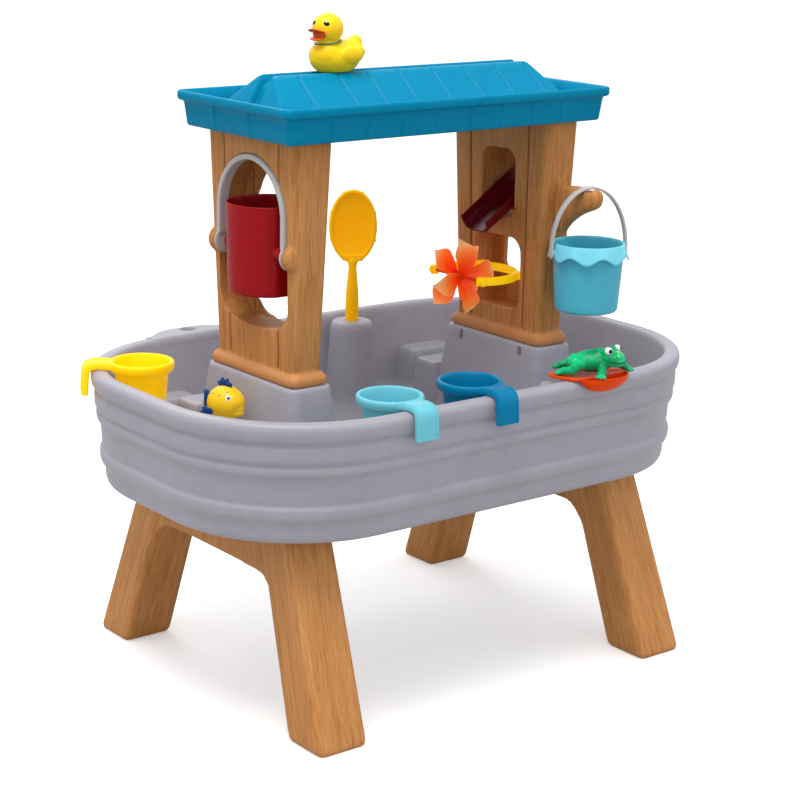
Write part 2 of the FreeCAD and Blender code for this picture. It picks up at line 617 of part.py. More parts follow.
def make_tipping_bucket():
    floor = BUCKET_BOTTOM_Z + BUCKET_WALL
    inner_bottom_r = BUCKET_BOTTOM_R - BUCKET_WALL
    inside = flattened([
        (0, floor), (inner_bottom_r - 2, floor), (inner_bottom_r, BUCKET_BOTTOM_Z + 4.5),
        (BUCKET_TOP_R - BUCKET_WALL, BUCKET_TOP_Z + 1), (0, BUCKET_TOP_Z + 1)],
        BUCKET_FLAT_Y - BUCKET_WALL)
    bucket = flattened([
        (0, BUCKET_BOTTOM_Z), (BUCKET_BOTTOM_R - 3, BUCKET_BOTTOM_Z),
        (BUCKET_BOTTOM_R, BUCKET_BOTTOM_Z + 3), (BUCKET_TOP_R, BUCKET_TOP_Z - 1.5),
        (BUCKET_TOP_R - 0.6, BUCKET_TOP_Z), (0, BUCKET_TOP_Z)], BUCKET_FLAT_Y).cut(inside)
    bucket = fuse_each(bucket, [
        rod_y(10.0, PIVOT_X, PIVOT_Z, side * (BUCKET_FLAT_Y - 1.5), side * 75.2)
        for side in SIDES])
    return cut_each(bucket, [rod_y(PIVOT_R, PIVOT_X, PIVOT_Z, side * 62.0, side * 78.0)
                             for side in SIDES])


def make_bucket_handle():
    handle = arch_prism(HANDLE_X0, HANDLE_X1, HANDLE_OUT, PIVOT_Z - 8.0, 4.0, ARCH_SPRING)
    handle = handle.cut(arch_prism(HANDLE_X0 - 1, HANDLE_X1 + 1, HANDLE_IN, PIVOT_Z - 30.0, 2.0,
                                   ARCH_SPRING))
    handle = fuse_each(handle, [rod_y(19.0, PIVOT_X, PIVOT_Z, side * HANDLE_IN, side * 85.6)
                                for side in SIDES])
    return cut_each(handle, [rod_y(PIVOT_R, PIVOT_X, PIVOT_Z, side * 74.0, side * 88.0)
                             for side in SIDES])


def make_bucket_pins():
    return Part.makeCompound([rod_y(PIVOT_R, PIVOT_X, PIVOT_Z, side * 62.4, side * 93.4)
                              for side in SIDES])


# ---------------------------------------------------------------------------
# Water chute: trough through the right tower's upper window
# ---------------------------------------------------------------------------
CHUTE_SLOPE, CHUTE_LENGTH = 33.4, 150.0
CHUTE_HALF_WIDTH, CHUTE_DEPTH, CHUTE_WALL = 30.0, 19.0, 2.6
CHUTE_X, CHUTE_Z = 146.5, 641.8  # upper end


def trough_points(half_width, depth, steps=16):
    """Squared-off half ellipse below z = 0, as (y, z) points."""
    points = []
    for i in range(steps + 1):
        angle = math.pi * i / steps
        across, down = math.cos(angle), math.sin(angle)
        points.append((-half_width * math.copysign(abs(across) ** 0.75, across),
                       -depth * abs(down) ** 0.85))
    return points


def make_water_chute():
    outside = trough_points(CHUTE_HALF_WIDTH, CHUTE_DEPTH)
    inside = trough_points(CHUTE_HALF_WIDTH - CHUTE_WALL, CHUTE_DEPTH - CHUTE_WALL)
    chute = placed(prism_x(outside + inside[::-1], 0, CHUTE_LENGTH),
                   CHUTE_X, 0, CHUTE_Z, -CHUTE_SLOPE, Y_AXIS)
    # Two studs that bear on the jambs of the upper window
    return fuse_each(chute, [rod_y(4.5, 228.0, 688.5, side * 28.6, side * 38.9)
                             for side in SIDES])


# ---------------------------------------------------------------------------
# Spinner: horizontal fork in the right tower's lower window, axle and petal wheel
# ---------------------------------------------------------------------------
SPIN_X, SPIN_Z = 122.0, 561.0
FORK_X, FORK_OPEN_X = 153.0, 114.0
FORK_OUT_R, FORK_IN_R, FORK_HALF_H = 67.5, 61.5, 6.0
AXLE_R = 2.5
PETAL_COUNT = 8
# Petal from the side (x, z) and in plan (x, y), with the axle at the origin
PETAL_SIDE = [
    (6.5, 2.2), (15.5, 4.8), (27.0, 9.4), (38.0, 11.6), (48.0, 10.4), (56.0, 4.8),
    (55.4, 2.8), (47.0, 7.2), (38.0, 8.6), (27.0, 6.4), (15.5, 2.0), (6.5, -0.6),
]
PETAL_PLAN = [
    (5, -8), (17, -15), (31, -20), (43, -18.5), (52, -10), (57, 0),
    (52, 10), (43, 18.5), (31, 20), (17, 15), (5, 8),
]


def make_spinner_ring():
    z0, z1 = SPIN_Z - FORK_HALF_H, SPIN_Z + FORK_HALF_H
    ring = revolve_z([
        (FORK_IN_R, z0), (FORK_OUT_R - 1, z0), (FORK_OUT_R, z0 + 2), (FORK_OUT_R, z1 - 2),
        (FORK_OUT_R - 1, z1), (FORK_IN_R, z1)], FORK_X)
    # Open towards the middle of the table: two arms whose ends carry the axle
    ring = ring.cut(box(60.0, FORK_OPEN_X, -90.0, 90.0, SPIN_Z - 20, SPIN_Z + 20))
    ring = fuse_each(ring, [rod_y(5.2, SPIN_X, SPIN_Z, side * 50.0, side * 63.5)
                            for side in SIDES])
    # Two lugs that bear on the window's jambs
    inside = rod_z(FORK_IN_R, FORK_X, 0, SPIN_Z - 10, SPIN_Z + 10)
    ring = fuse_each(ring, [box(190.0, 216.0, side * 47.0, side * 54.7, z0, z1).cut(inside)
                            for side in SIDES])
    return ring.cut(rod_y(AXLE_R, SPIN_X, SPIN_Z, -60.5, 60.5))


def make_spinner_axle():
    return rod_y(AXLE_R, SPIN_X, SPIN_Z, -60.2, 60.2)


def make_spinner_flower():
    petal = prism_y(PETAL_SIDE, -24.0, 24.0).common(prism_z(PETAL_PLAN, -20, 40))
    petals = [placed(petal, 0, 0, 0, 360.0 * i / PETAL_COUNT, Y_AXIS)
              for i in range(PETAL_COUNT)]
    flower = rod_y(8.5, 0, 0, -16.0, 16.0).multiFuse(petals)
    flower = flower.cut(rod_y(AXLE_R + RUN, 0, 0, -30.0, 30.0))
    return placed(flower, SPIN_X, 0, SPIN_Z)


# ---------------------------------------------------------------------------
# Pail with its bail
# ---------------------------------------------------------------------------
PAIL_X, PAIL_Y, PAIL_TURN = 232.0, -167.0, -20.0
PAIL_BOTTOM_Z, PAIL_RIM_Z, EAR_Z = 521.0, 627.0, 613.0
BAIL_OUT, BAIL_IN, BAIL_SPRING, BAIL_PIN_R = 61.0, 57.2, 650.0, 3.0
# Inner surface, from the centre of the floor up: (radius, z)
PAIL_INSIDE = [(0, PAIL_BOTTOM_Z + 2.6), (41.5, PAIL_BOTTOM_Z + 2.6), (43.6, PAIL_BOTTOM_Z + 4.5),
               (49.6, 610.0), (50.0, 625.0)]
# Outer surface, from the centre of the bottom up to the rim
PAIL_OUTSIDE = [
    (0, PAIL_BOTTOM_Z), (42.5, PAIL_BOTTOM_Z), (46.0, PAIL_BOTTOM_Z + 3.5), (52.2, 610.0),
    (52.6, 611.0), (56.0, 611.5), (54.6, 621.0), (53.4, 626.0), (52.4, PAIL_RIM_Z),
    (50.6, PAIL_RIM_Z),
]


def make_pail():
    pail = revolve_z(PAIL_OUTSIDE + PAIL_INSIDE[::-1])
    void = revolve_z(PAIL_INSIDE + [(50.4, 640.0), (0, 640.0)])
    for side in SIDES:
        ear = rod_x(7.0, 0, EAR_Z, side * 44.0, side * 56.7).cut(void)
        pail = pail.fuse(max(ear.Solids, key=lambda solid: solid.Volume))
    pail = cut_each(pail, [rod_x(BAIL_PIN_R + RUN, 0, EAR_Z, side * 53.2, side * 60.0)
                           for side in SIDES])
    return placed(pail, PAIL_X, PAIL_Y, 0, PAIL_TURN)


def bail_arch(half_width, z0, half_y):
    """Round-topped arch in the XZ plane, extruded along Y."""
    y, spring = -half_y, BAIL_SPRING
    wire = Part.Wire([
        Part.makeLine(V(-half_width, y, z0), V(half_width, y, z0)),
        Part.makeLine(V(half_width, y, z0), V(half_width, y, spring)),
        Part.Arc(V(half_width, y, spring), V(0, y, spring + half_width),
                 V(-half_width, y, spring)).toShape(),
        Part.makeLine(V(-half_width, y, spring), V(-half_width, y, z0)),
    ])
    return Part.Face(wire).extrude(V(0, 2 * half_y, 0))


def make_pail_bail():
    bail = bail_arch(BAIL_OUT, EAR_Z, 5.0).cut(bail_arch(BAIL_IN, EAR_Z - 5, 6.0))
    for side in SIDES:
        bail = bail.fuse(rod_x(7.5, 0, EAR_Z, side * BAIL_IN, side * BAIL_OUT))
        bail = bail.fuse(rod_x(BAIL_PIN_R, 0, EAR_Z, side * 54.0, side * (BAIL_IN + 1)))
    return placed(bail, PAIL_X, PAIL_Y, 0, PAIL_TURN)


# ---------------------------------------------------------------------------
# Cups that hang on the rim by a square hook
# ---------------------------------------------------------------------------
CUP_TOP_Z = 467.0
FRONT_CUP_Y = -214.5
# The yellow cup hangs on the rounded back left corner, about this centre
YELLOW_CENTRE_X, YELLOW_CENTRE_Y, YELLOW_REACH, YELLOW_ANGLE = -223.0, 65.0, 149.5, 153.0
# (radius, z below the cup's top)
CUP_OUTSIDE = [(0, -72), (30, -72), (32.3, -69.5), (38.6, -15.0), (45.5, -15.0), (47.3, -13.0),
               (47.5, -4.0), (46.0, -1.0), (44.0, 0)]
CUP_INSIDE = [(0, -69.8), (29, -69.8), (30.4, -68.5), (36.6, -16.0), (39.4, -1.5), (41.0, 0)]
# (x outwards, z)
CUP_HOOK = [
    (38.0, -9.4), (38.0, -1.0), (69.0, -1.0), (76.0, -3.6), (81.0, -9.0), (84.0, -20.0),
    (85.0, -46.0), (77.2, -46.0), (76.4, -20.0), (74.0, -12.0), (69.0, -9.4),
]


def make_cup(x, y, hook_angle):
    """Round cup with a thick ring and a flat hook; the angle is measured from +X."""
    cup = revolve_z(CUP_OUTSIDE + CUP_INSIDE[::-1])
    void = revolve_z(CUP_INSIDE + [(41.0, 5), (0, 5)])
    cup = cup.fuse(prism_y(CUP_HOOK, -18.0, 18.0).cut(void))
    return placed(cup, x, y, CUP_TOP_Z, hook_angle)


def make_yellow_cup():
    angle = math.radians(YELLOW_ANGLE)
    return make_cup(YELLOW_CENTRE_X + YELLOW_REACH * math.cos(angle),
                    YELLOW_CENTRE_Y + YELLOW_REACH * math.sin(angle), YELLOW_ANGLE)


# ---------------------------------------------------------------------------
# Net: oval frame with a handle that stands in the post, and the flat mesh in it
# ---------------------------------------------------------------------------
NET_TURN = -37.7
HOOP_Z, HOOP_HALF_WIDTH, HOOP_HALF_HEIGHT, HOOP_WIDTH = 605.0, 38.5, 59.0, 6.0
# (radius, z)
NET_HANDLE = [
    (0, 400.0), (8.6, 400.0), (9.9, 402.0), (9.9, 458.0), (10.8, 470.0), (10.2, 500.0),
    (8.4, 520.0), (6.4, 540.0), (6.0, 553.0), (0, 553.0),
]


def hoop_prism(inset, half_y):
    """Upright ellipse, smaller than the hoop's outside by the inset, extruded along Y."""
    y = -half_y
    ellipse = Part.Ellipse(V(0, y, HOOP_Z + HOOP_HALF_HEIGHT - inset),
                           V(HOOP_HALF_WIDTH - inset, y, HOOP_Z), V(0, y, HOOP_Z))
    return Part.Face(Part.Wire(ellipse.toShape())).extrude(V(0, 2 * half_y, 0))


def make_net_frame():
    hoop = hoop_prism(0.0, 4.0).cut(hoop_prism(HOOP_WIDTH, 5.0))
    frame = hoop.fuse(revolve_z(NET_HANDLE).cut(hoop_prism(HOOP_WIDTH, 15.0)))
    return placed(frame, POST_X, POST_Y, 0, NET_TURN)


def make_net_mesh():
    return placed(hoop_prism(HOOP_WIDTH + 0.05, 2.0), POST_X, POST_Y, 0, NET_TURN)


# ---------------------------------------------------------------------------
# Spoon launcher on the front rim
# ---------------------------------------------------------------------------
LEVER_BOTTOM_Z, LEVER_TOP_Z = 458.7, 462.7
SPOON_X, SPOON_Y = 157.0, -289.6
SPOON_HALF_LENGTH, SPOON_R, SPOON_WALL = 44.0, 21.0, 2.2
# (x, y)
LEVER_PLAN = [
    (94, -241), (91, -250), (99, -274), (107, -288), (118, -292), (196, -292), (207, -289),
    (208, -283), (196, -268), (170, -252), (140, -240), (115, -234), (100, -236),
]


def make_launcher_lever():
    blade = prism_z(LEVER_PLAN, LEVER_BOTTOM_Z, LEVER_TOP_Z)
    # The spoon hangs outside the rim: a quarter of an oval bowl, closed by a back wall
    whole = spheroid(SPOON_HALF_LENGTH, SPOON_R)
    bowl = whole.cut(spheroid(SPOON_HALF_LENGTH - SPOON_WALL, SPOON_R - SPOON_WALL))
    bowl = bowl.common(box(-60, 60, -40, 0, -40, 0))
    bowl = bowl.fuse(whole.common(box(-60, 60, -2.0, 0, -40, 0)))
    bowl = placed(bowl, SPOON_X, SPOON_Y, LEVER_TOP_Z - 0.5)
    lug = rod_y(LEVER_LUG_R, 0, LEVER_PIVOT_Z, -6.4, 6.4).fuse(
        box(-LEVER_LUG_R, LEVER_LUG_R, -6.4, 6.4, LEVER_PIVOT_Z, LEVER_BOTTOM_Z + 1))
    lever = blade.fuse(bowl).fuse(in_lever_frame(lug))
    return lever.cut(in_lever_frame(rod_y(LEVER_PIN_R + RUN, 0, LEVER_PIVOT_Z, -15, 15)))


def make_launcher_pin():
    return in_lever_frame(rod_y(LEVER_PIN_R, 0, LEVER_PIVOT_Z, -11.0, 11.0))


# ---------------------------------------------------------------------------
# Loose toys and the drain plug
# ---------------------------------------------------------------------------
FROG_ALONG, FROG_ACROSS, FROG_Z = 38.0, 10.0, LEVER_TOP_Z + 0.1
# Each limb's root and foot
FROG_LIMBS = [
    ((12, -11, 14), (4, -26, 6.0)), ((16, 11, 14), (50, 17, 6.0)),
    ((-18, -10, 12), (-54, -15, 6.5)), ((-18, 10, 12), (-48, 20, 6.5)),
]
FISH_X, FISH_Y, FISH_Z, FISH_TURN = -300.0, -2.0, 425.0, -30.0
# (x, z)
TAIL_FIN = [(-24, 0), (-44, 15), (-40, 0), (-44, -15)]
TOP_FIN = [(-14, 22), (-10, 36), (4, 35), (12, 23), (10, 18), (-12, 18)]
DUCK_X = -116.0


def make_frog():
    """Frog on the launcher's lever."""
    body = placed(spheroid(35.0, 18.5), -3.0, 0, 19.5)
    head = placed(spheroid(18.0, 15.0), 28.0, 0, 24.0)
    eyes = [placed(Part.makeSphere(6.4), 26.0, side * 9.0, 36.0) for side in SIDES]
    limbs = []
    for root, foot in FROG_LIMBS:
        reach = V(*foot).sub(V(*root))
        limbs.append(Part.makeCylinder(5.2, reach.Length, V(*root), reach))
        limbs.append(Part.makeSphere(6.6, V(*foot)))
    frog = body.multiFuse([head] + eyes + limbs)
    frog = frog.cut(box(-90, 90, -60, 60, -60, 0))
    return in_lever_frame(placed(frog, FROG_ALONG, FROG_ACROSS, FROG_Z))


def make_fish():
    """Fish in the left part of the basin."""
    body, tail, top = [placed(part, 0, 0, 0, FISH_TURN) for part in
                       (spheroid(30.0, 26.5), prism_y(TAIL_FIN, -2, 2), prism_y(TOP_FIN, -2, 2))]
    return placed(body.multiFuse([tail, top]), FISH_X, FISH_Y, FISH_Z)


def make_duck():
    """Duck on the roof's ridge, facing left."""
    body = placed(spheroid(38.0, 27.0), DUCK_X + 1.0, 0, 905.0)
    head = Part.makeSphere(21.5, V(DUCK_X - 15.0, 0, 941.0))
    neck = rod_z(14.0, DUCK_X - 12.0, 0, 915.0, 933.0)
    bill = placed(spheroid(13.0, 6.5), DUCK_X - 36.0, 0, 936.0)
    tail = placed(spheroid(17.0, 10.0), DUCK_X + 32.0, 0, 919.0, -35.0, Y_AXIS)
    duck = body.multiFuse([head, neck, bill, tail])
    return duck.cut(box(DUCK_X - 80, DUCK_X + 80, -60, 60, 860, RIDGE_Z + 0.4))


def make_drain_plug():
    flange = FLOOR_Z + 0.3
    return revolve_z([
        (0, 316.0), (11.0, 316.0), (12.3, 319.0), (12.3, FLOOR_Z), (12.3, flange),
        (18.0, flange), (18.0, flange + 2), (16.5, flange + 3), (6.0, flange + 3),
        (5.0, FLOOR_Z + 11.0), (3.5, FLOOR_Z + 12.5), (0, FLOOR_Z + 12.5)])


# ---------------------------------------------------------------------------
# One STEP file per piece
# ---------------------------------------------------------------------------
PIECES = {
    "tub": make_tub(),
    "left_leg_frame": make_leg_frame(-1),
    "right_leg_frame": make_leg_frame(1),
    "leg_screws": make_leg_screws(),
    "left_tower": make_left_tower(),
    "right_tower": make_right_tower(),
    "tower_screws": make_tower_screws(),
    "roof_tray": make_roof_tray(),
    "tipping_bucket": make_tipping_bucket(),
    "tipping_bucket_handle": make_bucket_handle(),
    "tipping_bucket_pins": make_bucket_pins(),
    "water_chute": make_water_chute(),
    "spinner_ring": make_spinner_ring(),
    "spinner_axle": make_spinner_axle(),
    "spinner_flower": make_spinner_flower(),
    "bucket_peg": make_bucket_peg(),
    "pail": make_pail(),
    "pail_bail": make_pail_bail(),
    "yellow_cup": make_yellow_cup(),
    "light_blue_cup": make_cup(-172.0, FRONT_CUP_Y, -90.0),
    "teal_cup": make_cup(-30.0, FRONT_CUP_Y, -90.0),
    "net_frame": make_net_frame(),
    "net_mesh": make_net_mesh(),
    "launcher_lever": make_launcher_lever(),
    "launcher_pin": make_launcher_pin(),
    "frog": make_frog(),
    "fish": make_fish(),
    "duck": make_duck(),
    "drain_plug": make_drain_plug(),
}

os.makedirs("parts", exist_ok=True)
for name, shape in PIECES.items():
    placed(shape, SHIFT_X, SHIFT_Y, 0).exportStep("parts/" + name + ".step")
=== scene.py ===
# A children's water table: an oval tub on two leg frames, two towers carrying a roof tray, and
# a tipping bucket, chute, spinner, pail, cups, net, launcher and three bath animals.
# Shapes are written in millimetres from the tub's centre on the ground: X runs along the tub to
# the right, Y to the back, Z up.  to_metres() takes them into the scene.
import json
import math
import random

import bmesh
import bpy
import numpy as np
from mathutils import Matrix, Vector


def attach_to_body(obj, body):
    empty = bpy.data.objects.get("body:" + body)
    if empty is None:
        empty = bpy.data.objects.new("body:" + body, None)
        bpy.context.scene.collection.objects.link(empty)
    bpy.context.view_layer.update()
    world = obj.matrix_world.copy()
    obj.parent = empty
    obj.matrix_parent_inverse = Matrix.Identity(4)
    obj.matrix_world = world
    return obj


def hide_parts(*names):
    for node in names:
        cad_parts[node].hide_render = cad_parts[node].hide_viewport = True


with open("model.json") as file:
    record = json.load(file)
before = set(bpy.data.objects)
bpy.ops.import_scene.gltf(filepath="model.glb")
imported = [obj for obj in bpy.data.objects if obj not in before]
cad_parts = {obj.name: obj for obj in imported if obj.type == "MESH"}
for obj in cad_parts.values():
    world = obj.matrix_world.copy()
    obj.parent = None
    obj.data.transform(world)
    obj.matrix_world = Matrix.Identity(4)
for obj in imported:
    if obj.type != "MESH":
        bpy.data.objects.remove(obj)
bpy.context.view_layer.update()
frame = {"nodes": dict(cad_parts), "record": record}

random.seed(7)

# ---------------------------------------------------------------------------
# shared dimensions, millimetres
# ---------------------------------------------------------------------------
OFFSET_Y = 1.3                              # from the tub's centre to the scene's origin
SIDES = (-1, 1)
RIM_HALF_X, RIM_HALF_Y, RIM_CORNER = 440.0, 282.0, 217.0
TUB_FLOOR = 325.0
PEDESTAL_HALF = 35.2                        # half width of a tower pedestal at its top
TOWER_X = 225.8
TOWER_FOOT, TOWER_RISE = 480.0, 311.0       # heights between which a tower widens
JOINT_Y, JOINT_SPREAD = 59.5, 8.0           # plank joint at the foot, and its drift to the top
BUCKET_AXIS_X, BUCKET_AXIS_Z = -245.0, 641.0
FLOWER_X, FLOWER_Z = 122.0, 561.0
NET_X, NET_Y = 90.0, 225.0
# local frames: turn about Z in degrees, then origin
LAUNCHER = (-41.0, 113.6, -254.5)
PAIL = (-20.0, 232.0, -167.0)
NET = (-37.7, NET_X, NET_Y)
FISH = (-72.0, -300.0, -2.0, 425.0)


def to_metres(x, y, z):
    return (x / 1000.0, (y + OFFSET_Y) / 1000.0, z / 1000.0)


# ---------------------------------------------------------------------------
# materials (shader coordinates are metres)
# ---------------------------------------------------------------------------
def linear(rgb):
    """sRGB 0-255 to linear RGBA."""
    def channel(value):
        value /= 255.0
        return value / 12.92 if value <= 0.04045 else ((value + 0.055) / 1.055) ** 2.4
    return tuple(channel(value) for value in rgb) + (1.0,)


class Shader:
    """A node graph around one Principled BSDF.  Any operand may be a number or a socket."""

    def __init__(self, name):
        self.material = bpy.data.materials.new(name)
        self.material.use_nodes = True
        self.tree = self.material.node_tree
        self.tree.nodes.clear()
        self.output = self.node("ShaderNodeOutputMaterial")
        self.bsdf = self.node("ShaderNodeBsdfPrincipled")
        self.feed(self.output.inputs[0], self.bsdf.outputs[0])
        self.coords = None

    def node(self, kind, **settings):
        made = self.tree.nodes.new(kind)
        for key, value in settings.items():
            setattr(made, key, value)
        return made

    def feed(self, socket, value):
        if isinstance(value, bpy.types.NodeSocket):
            self.tree.links.new(value, socket)
        else:
            socket.default_value = value

    def surface(self, values):
        for key, value in values.items():
            self.feed(self.bsdf.inputs[key], value)

    def object_coords(self):
        if self.coords is None:
            self.coords = self.node("ShaderNodeTexCoord").outputs["Object"]
        return self.coords

    def calc(self, operation, *operands, clamp=False):
        made = self.node("ShaderNodeMath", operation=operation, use_clamp=clamp)
        for socket, value in zip(made.inputs, operands):
            self.feed(socket, value)
        return made.outputs[0]

    def add(self, first, second):
        return self.calc("ADD", first, second)

    def less(self, first, second):
        return self.calc("SUBTRACT", first, second)

    def times(self, first, second):
        return self.calc("MULTIPLY", first, second)

    def size(self, value):
        return self.calc("ABSOLUTE", value)

    def fade(self, value, start, slope):
        """0 up to start, then rising by slope to 1."""
        return self.calc("MULTIPLY", self.less(value, start), slope, clamp=True)

    def combine(self, *values):
        made = self.node("ShaderNodeCombineXYZ")
        for socket, value in zip(made.inputs, values):
            self.feed(socket, value)
        return made.outputs[0]

    def split(self, vector=None):
        made = self.node("ShaderNodeSeparateXYZ")
        self.feed(made.inputs[0], self.object_coords() if vector is None else vector)
        return made.outputs[0], made.outputs[1], made.outputs[2]

    def noise(self, scale, detail, roughness=0.5, at=None):
        made = self.node("ShaderNodeTexNoise")
        self.feed(made.inputs["Vector"], self.object_coords() if at is None else at)
        made.inputs["Scale"].default_value = scale
        made.inputs["Detail"].default_value = detail
        made.inputs["Roughness"].default_value = roughness
        return made.outputs["Fac"]

    def ramp(self, factor, stops):
        made = self.node("ShaderNodeValToRGB")
        self.feed(made.inputs[0], factor)
        elements = made.color_ramp.elements
        elements[0].position, elements[0].color = stops[0]
        elements[1].position, elements[1].color = stops[-1]
        for position, color in stops[1:-1]:
            elements.new(position).color = color
        return made.outputs[0]

    def mix(self, factor, first, second):
        made = self.node("ShaderNodeMix", data_type="RGBA")
        self.feed(made.inputs[0], factor)
        self.feed(made.inputs[6], first)
        self.feed(made.inputs[7], second)
        return made.outputs[2]

    def bump(self, height, strength, distance, normal=None):
        made = self.node("ShaderNodeBump")
        made.inputs["Strength"].default_value = strength
        made.inputs["Distance"].default_value = distance
        self.feed(made.inputs["Height"], height)
        if normal is not None:
            self.feed(made.inputs["Normal"], normal)
        return made.outputs[0]


def plastic(name, rgb, roughness, skin_scale, skin_depth, tint,
            specular=0.22, wear=0.04, subsurface=0.0, painted_glow=0.0, metallic=0.0):
    """Moulded plastic: tint spreads its colour, wear its roughness, skin is a fine bump;
    painted_glow is emission of its own colour, a painted glow.
    """
    g = Shader(name)
    base = linear(rgb)
    dark = tuple(max(0.0, v * (1.0 - tint * 2.2)) for v in base[:3]) + (1.0,)
    light = tuple(min(1.0, v * (1.0 + tint * 1.4)) for v in base[:3]) + (1.0,)
    clouds = g.noise(scale=7.0, detail=4.0, roughness=0.6)
    fine = g.noise(scale=55.0, detail=5.0, roughness=0.6)
    blend = g.add(g.times(clouds, 0.6), g.times(fine, 0.4))
    color = g.ramp(blend, [(0.32, dark), (0.5, base), (0.68, light)])
    skin = g.bump(g.noise(scale=skin_scale, detail=2.0), strength=skin_depth, distance=0.0006)
    waves = g.noise(scale=14.0, detail=2.0)
    g.surface({
        "Base Color": color,
        "Roughness": g.add(g.times(g.less(fine, 0.5), wear * 4), roughness),
        "Normal": g.bump(waves, strength=0.05, distance=0.004, normal=skin),
        "Specular IOR Level": specular,
        "Metallic": metallic,
    })
    # painted glow: emission of the plastic's own colour makes it look lit with no lamp
    if painted_glow:
        g.surface({"Emission Color": color, "Emission Strength": painted_glow})
    if subsurface:
        g.surface({"Subsurface Weight": subsurface, "Subsurface Scale": 0.5,
                   "Subsurface Radius": (0.010, 0.006, 0.003)})
    return g.material


def wood(name, leg=False):
    """Moulded wood grain that runs up the towers, or along the slanting legs."""
    g = Shader(name)
    x, y, z = g.split()
    if leg:
        # the legs' slopes per unit of height
        across_y = g.add(g.size(y), g.times(z, 0.363))
        across_x = g.add(g.size(x), g.times(z, 0.055))
    else:
        # the grain spreads as the tower widens
        across_y = g.less(y, g.times(g.times(y, z), 0.10))
        across_x = x
    warp = g.noise(scale=9.0, detail=2.0, at=g.combine(across_x, across_y, g.times(z, 0.6)))
    wander = g.times(g.less(warp, 0.5), 0.006)
    grain_x, grain_y = g.add(across_x, wander), g.add(across_y, wander)
    # squeezing z draws the noise out into fibres
    long_fibre = g.combine(grain_x, grain_y, g.times(z, 0.022))
    short_fibre = g.combine(grain_x, grain_y, g.times(z, 0.060))
    bands = g.noise(scale=120.0, detail=3.0, roughness=0.55, at=long_fibre)
    fine = g.noise(scale=430.0, detail=3.0, roughness=0.6, at=short_fibre)
    fibre = g.noise(scale=560.0, detail=2.0, at=long_fibre)
    broad = g.noise(scale=6.0, detail=2.0)
    blend = g.add(g.add(g.times(bands, 0.26), g.times(fine, 0.42)),
                  g.add(g.times(fibre, 0.20), g.times(broad, 0.12)))
    color = g.ramp(blend, [(0.33, linear((146, 90, 42))), (0.46, linear((186, 124, 66))),
                           (0.55, linear((198, 138, 80))), (0.68, linear((212, 156, 98)))])
    height = g.add(g.times(fine, 0.65), g.times(fibre, 0.55))
    if leg:
        # the legs are a little lighter than the towers
        for stop in color.node.color_ramp.elements:
            red, green, blue, _ = stop.color
            stop.color = (min(1.0, red * 1.10), green * 1.12, blue * 1.16, 1.0)
    else:
        # dark plank joints down the two broad faces, above the smooth bottom trim
        rise = g.calc("DIVIDE", g.less(z, TOWER_FOOT / 1000.0), TOWER_RISE / 1000.0)
        joint = g.add(g.times(rise, JOINT_SPREAD / 1000.0), JOINT_Y / 1000.0)
        distance = g.less(g.size(g.less(y, OFFSET_Y / 1000.0)), joint)
        normal_x = g.split(g.node("ShaderNodeNewGeometry").outputs["Normal"])[0]
        broad_face = g.fade(g.size(normal_x), start=0.45, slope=4.0)
        above_trim = g.fade(z, start=0.479, slope=300.0)
        squared = g.calc("POWER", g.size(g.calc("DIVIDE", distance, 0.0017)), 2.0)
        line = g.calc("EXPONENT", g.times(squared, -1.0))
        on_trim = g.fade(0.4788, start=z, slope=700.0)
        color = g.mix(g.times(on_trim, 0.80), color, linear((200, 138, 84)))
        darkness = g.times(g.times(line, broad_face), g.times(above_trim, 0.70))
        color = g.mix(darkness, color, linear((92, 50, 20)))
        # only 0.14 of the grain's depth is left on the trim
        grain_on = g.fade(z, start=0.4786, slope=600.0)
        height = g.times(height, g.add(g.times(grain_on, 0.86), 0.14))
    grain = g.bump(height, strength=0.45, distance=0.0011)
    skin = g.noise(scale=900.0, detail=1.0)
    g.surface({
        "Base Color": color,
        "Roughness": g.add(g.times(fine, 0.18), 0.36),
        "Normal": g.bump(skin, strength=0.05, distance=0.0005, normal=grain),
        "Specular IOR Level": 0.22,
    })
    return g.material


def petal_plastic():
    """Orange, fading outwards from the flower's hub, with a painted glow of its own colour."""
    g = Shader("petal_plastic_m")
    x, _, z = g.split()
    from_x = g.less(x, FLOWER_X / 1000.0)
    from_z = g.less(z, FLOWER_Z / 1000.0)
    radius = g.calc("SQRT", g.add(g.times(from_x, from_x), g.times(from_z, from_z)))
    mottle = g.times(g.less(g.noise(scale=60.0, detail=3.0), 0.5), 0.12)
    # the ramp spans 55 mm
    color = g.ramp(g.add(g.times(radius, 1000.0 / 55.0), mottle),
                   [(0.14, linear((236, 48, 8))), (0.52, linear((248, 92, 16))),
                    (0.80, linear((250, 134, 58))), (0.98, linear((250, 178, 118)))])
    g.surface({
        "Base Color": color,
        # painted glow: emission of the petal colour stands in for light shining through the
        # petals
        "Emission Color": color,
        "Emission Strength": 0.30,
        "Roughness": 0.34,
        "Subsurface Weight": 0.12,
        "Subsurface Radius": (0.01, 0.005, 0.002),
        "Subsurface Scale": 0.4,
        "Normal": g.bump(g.noise(scale=600.0, detail=2.0), strength=0.08, distance=0.0006),
    })
    return g.material


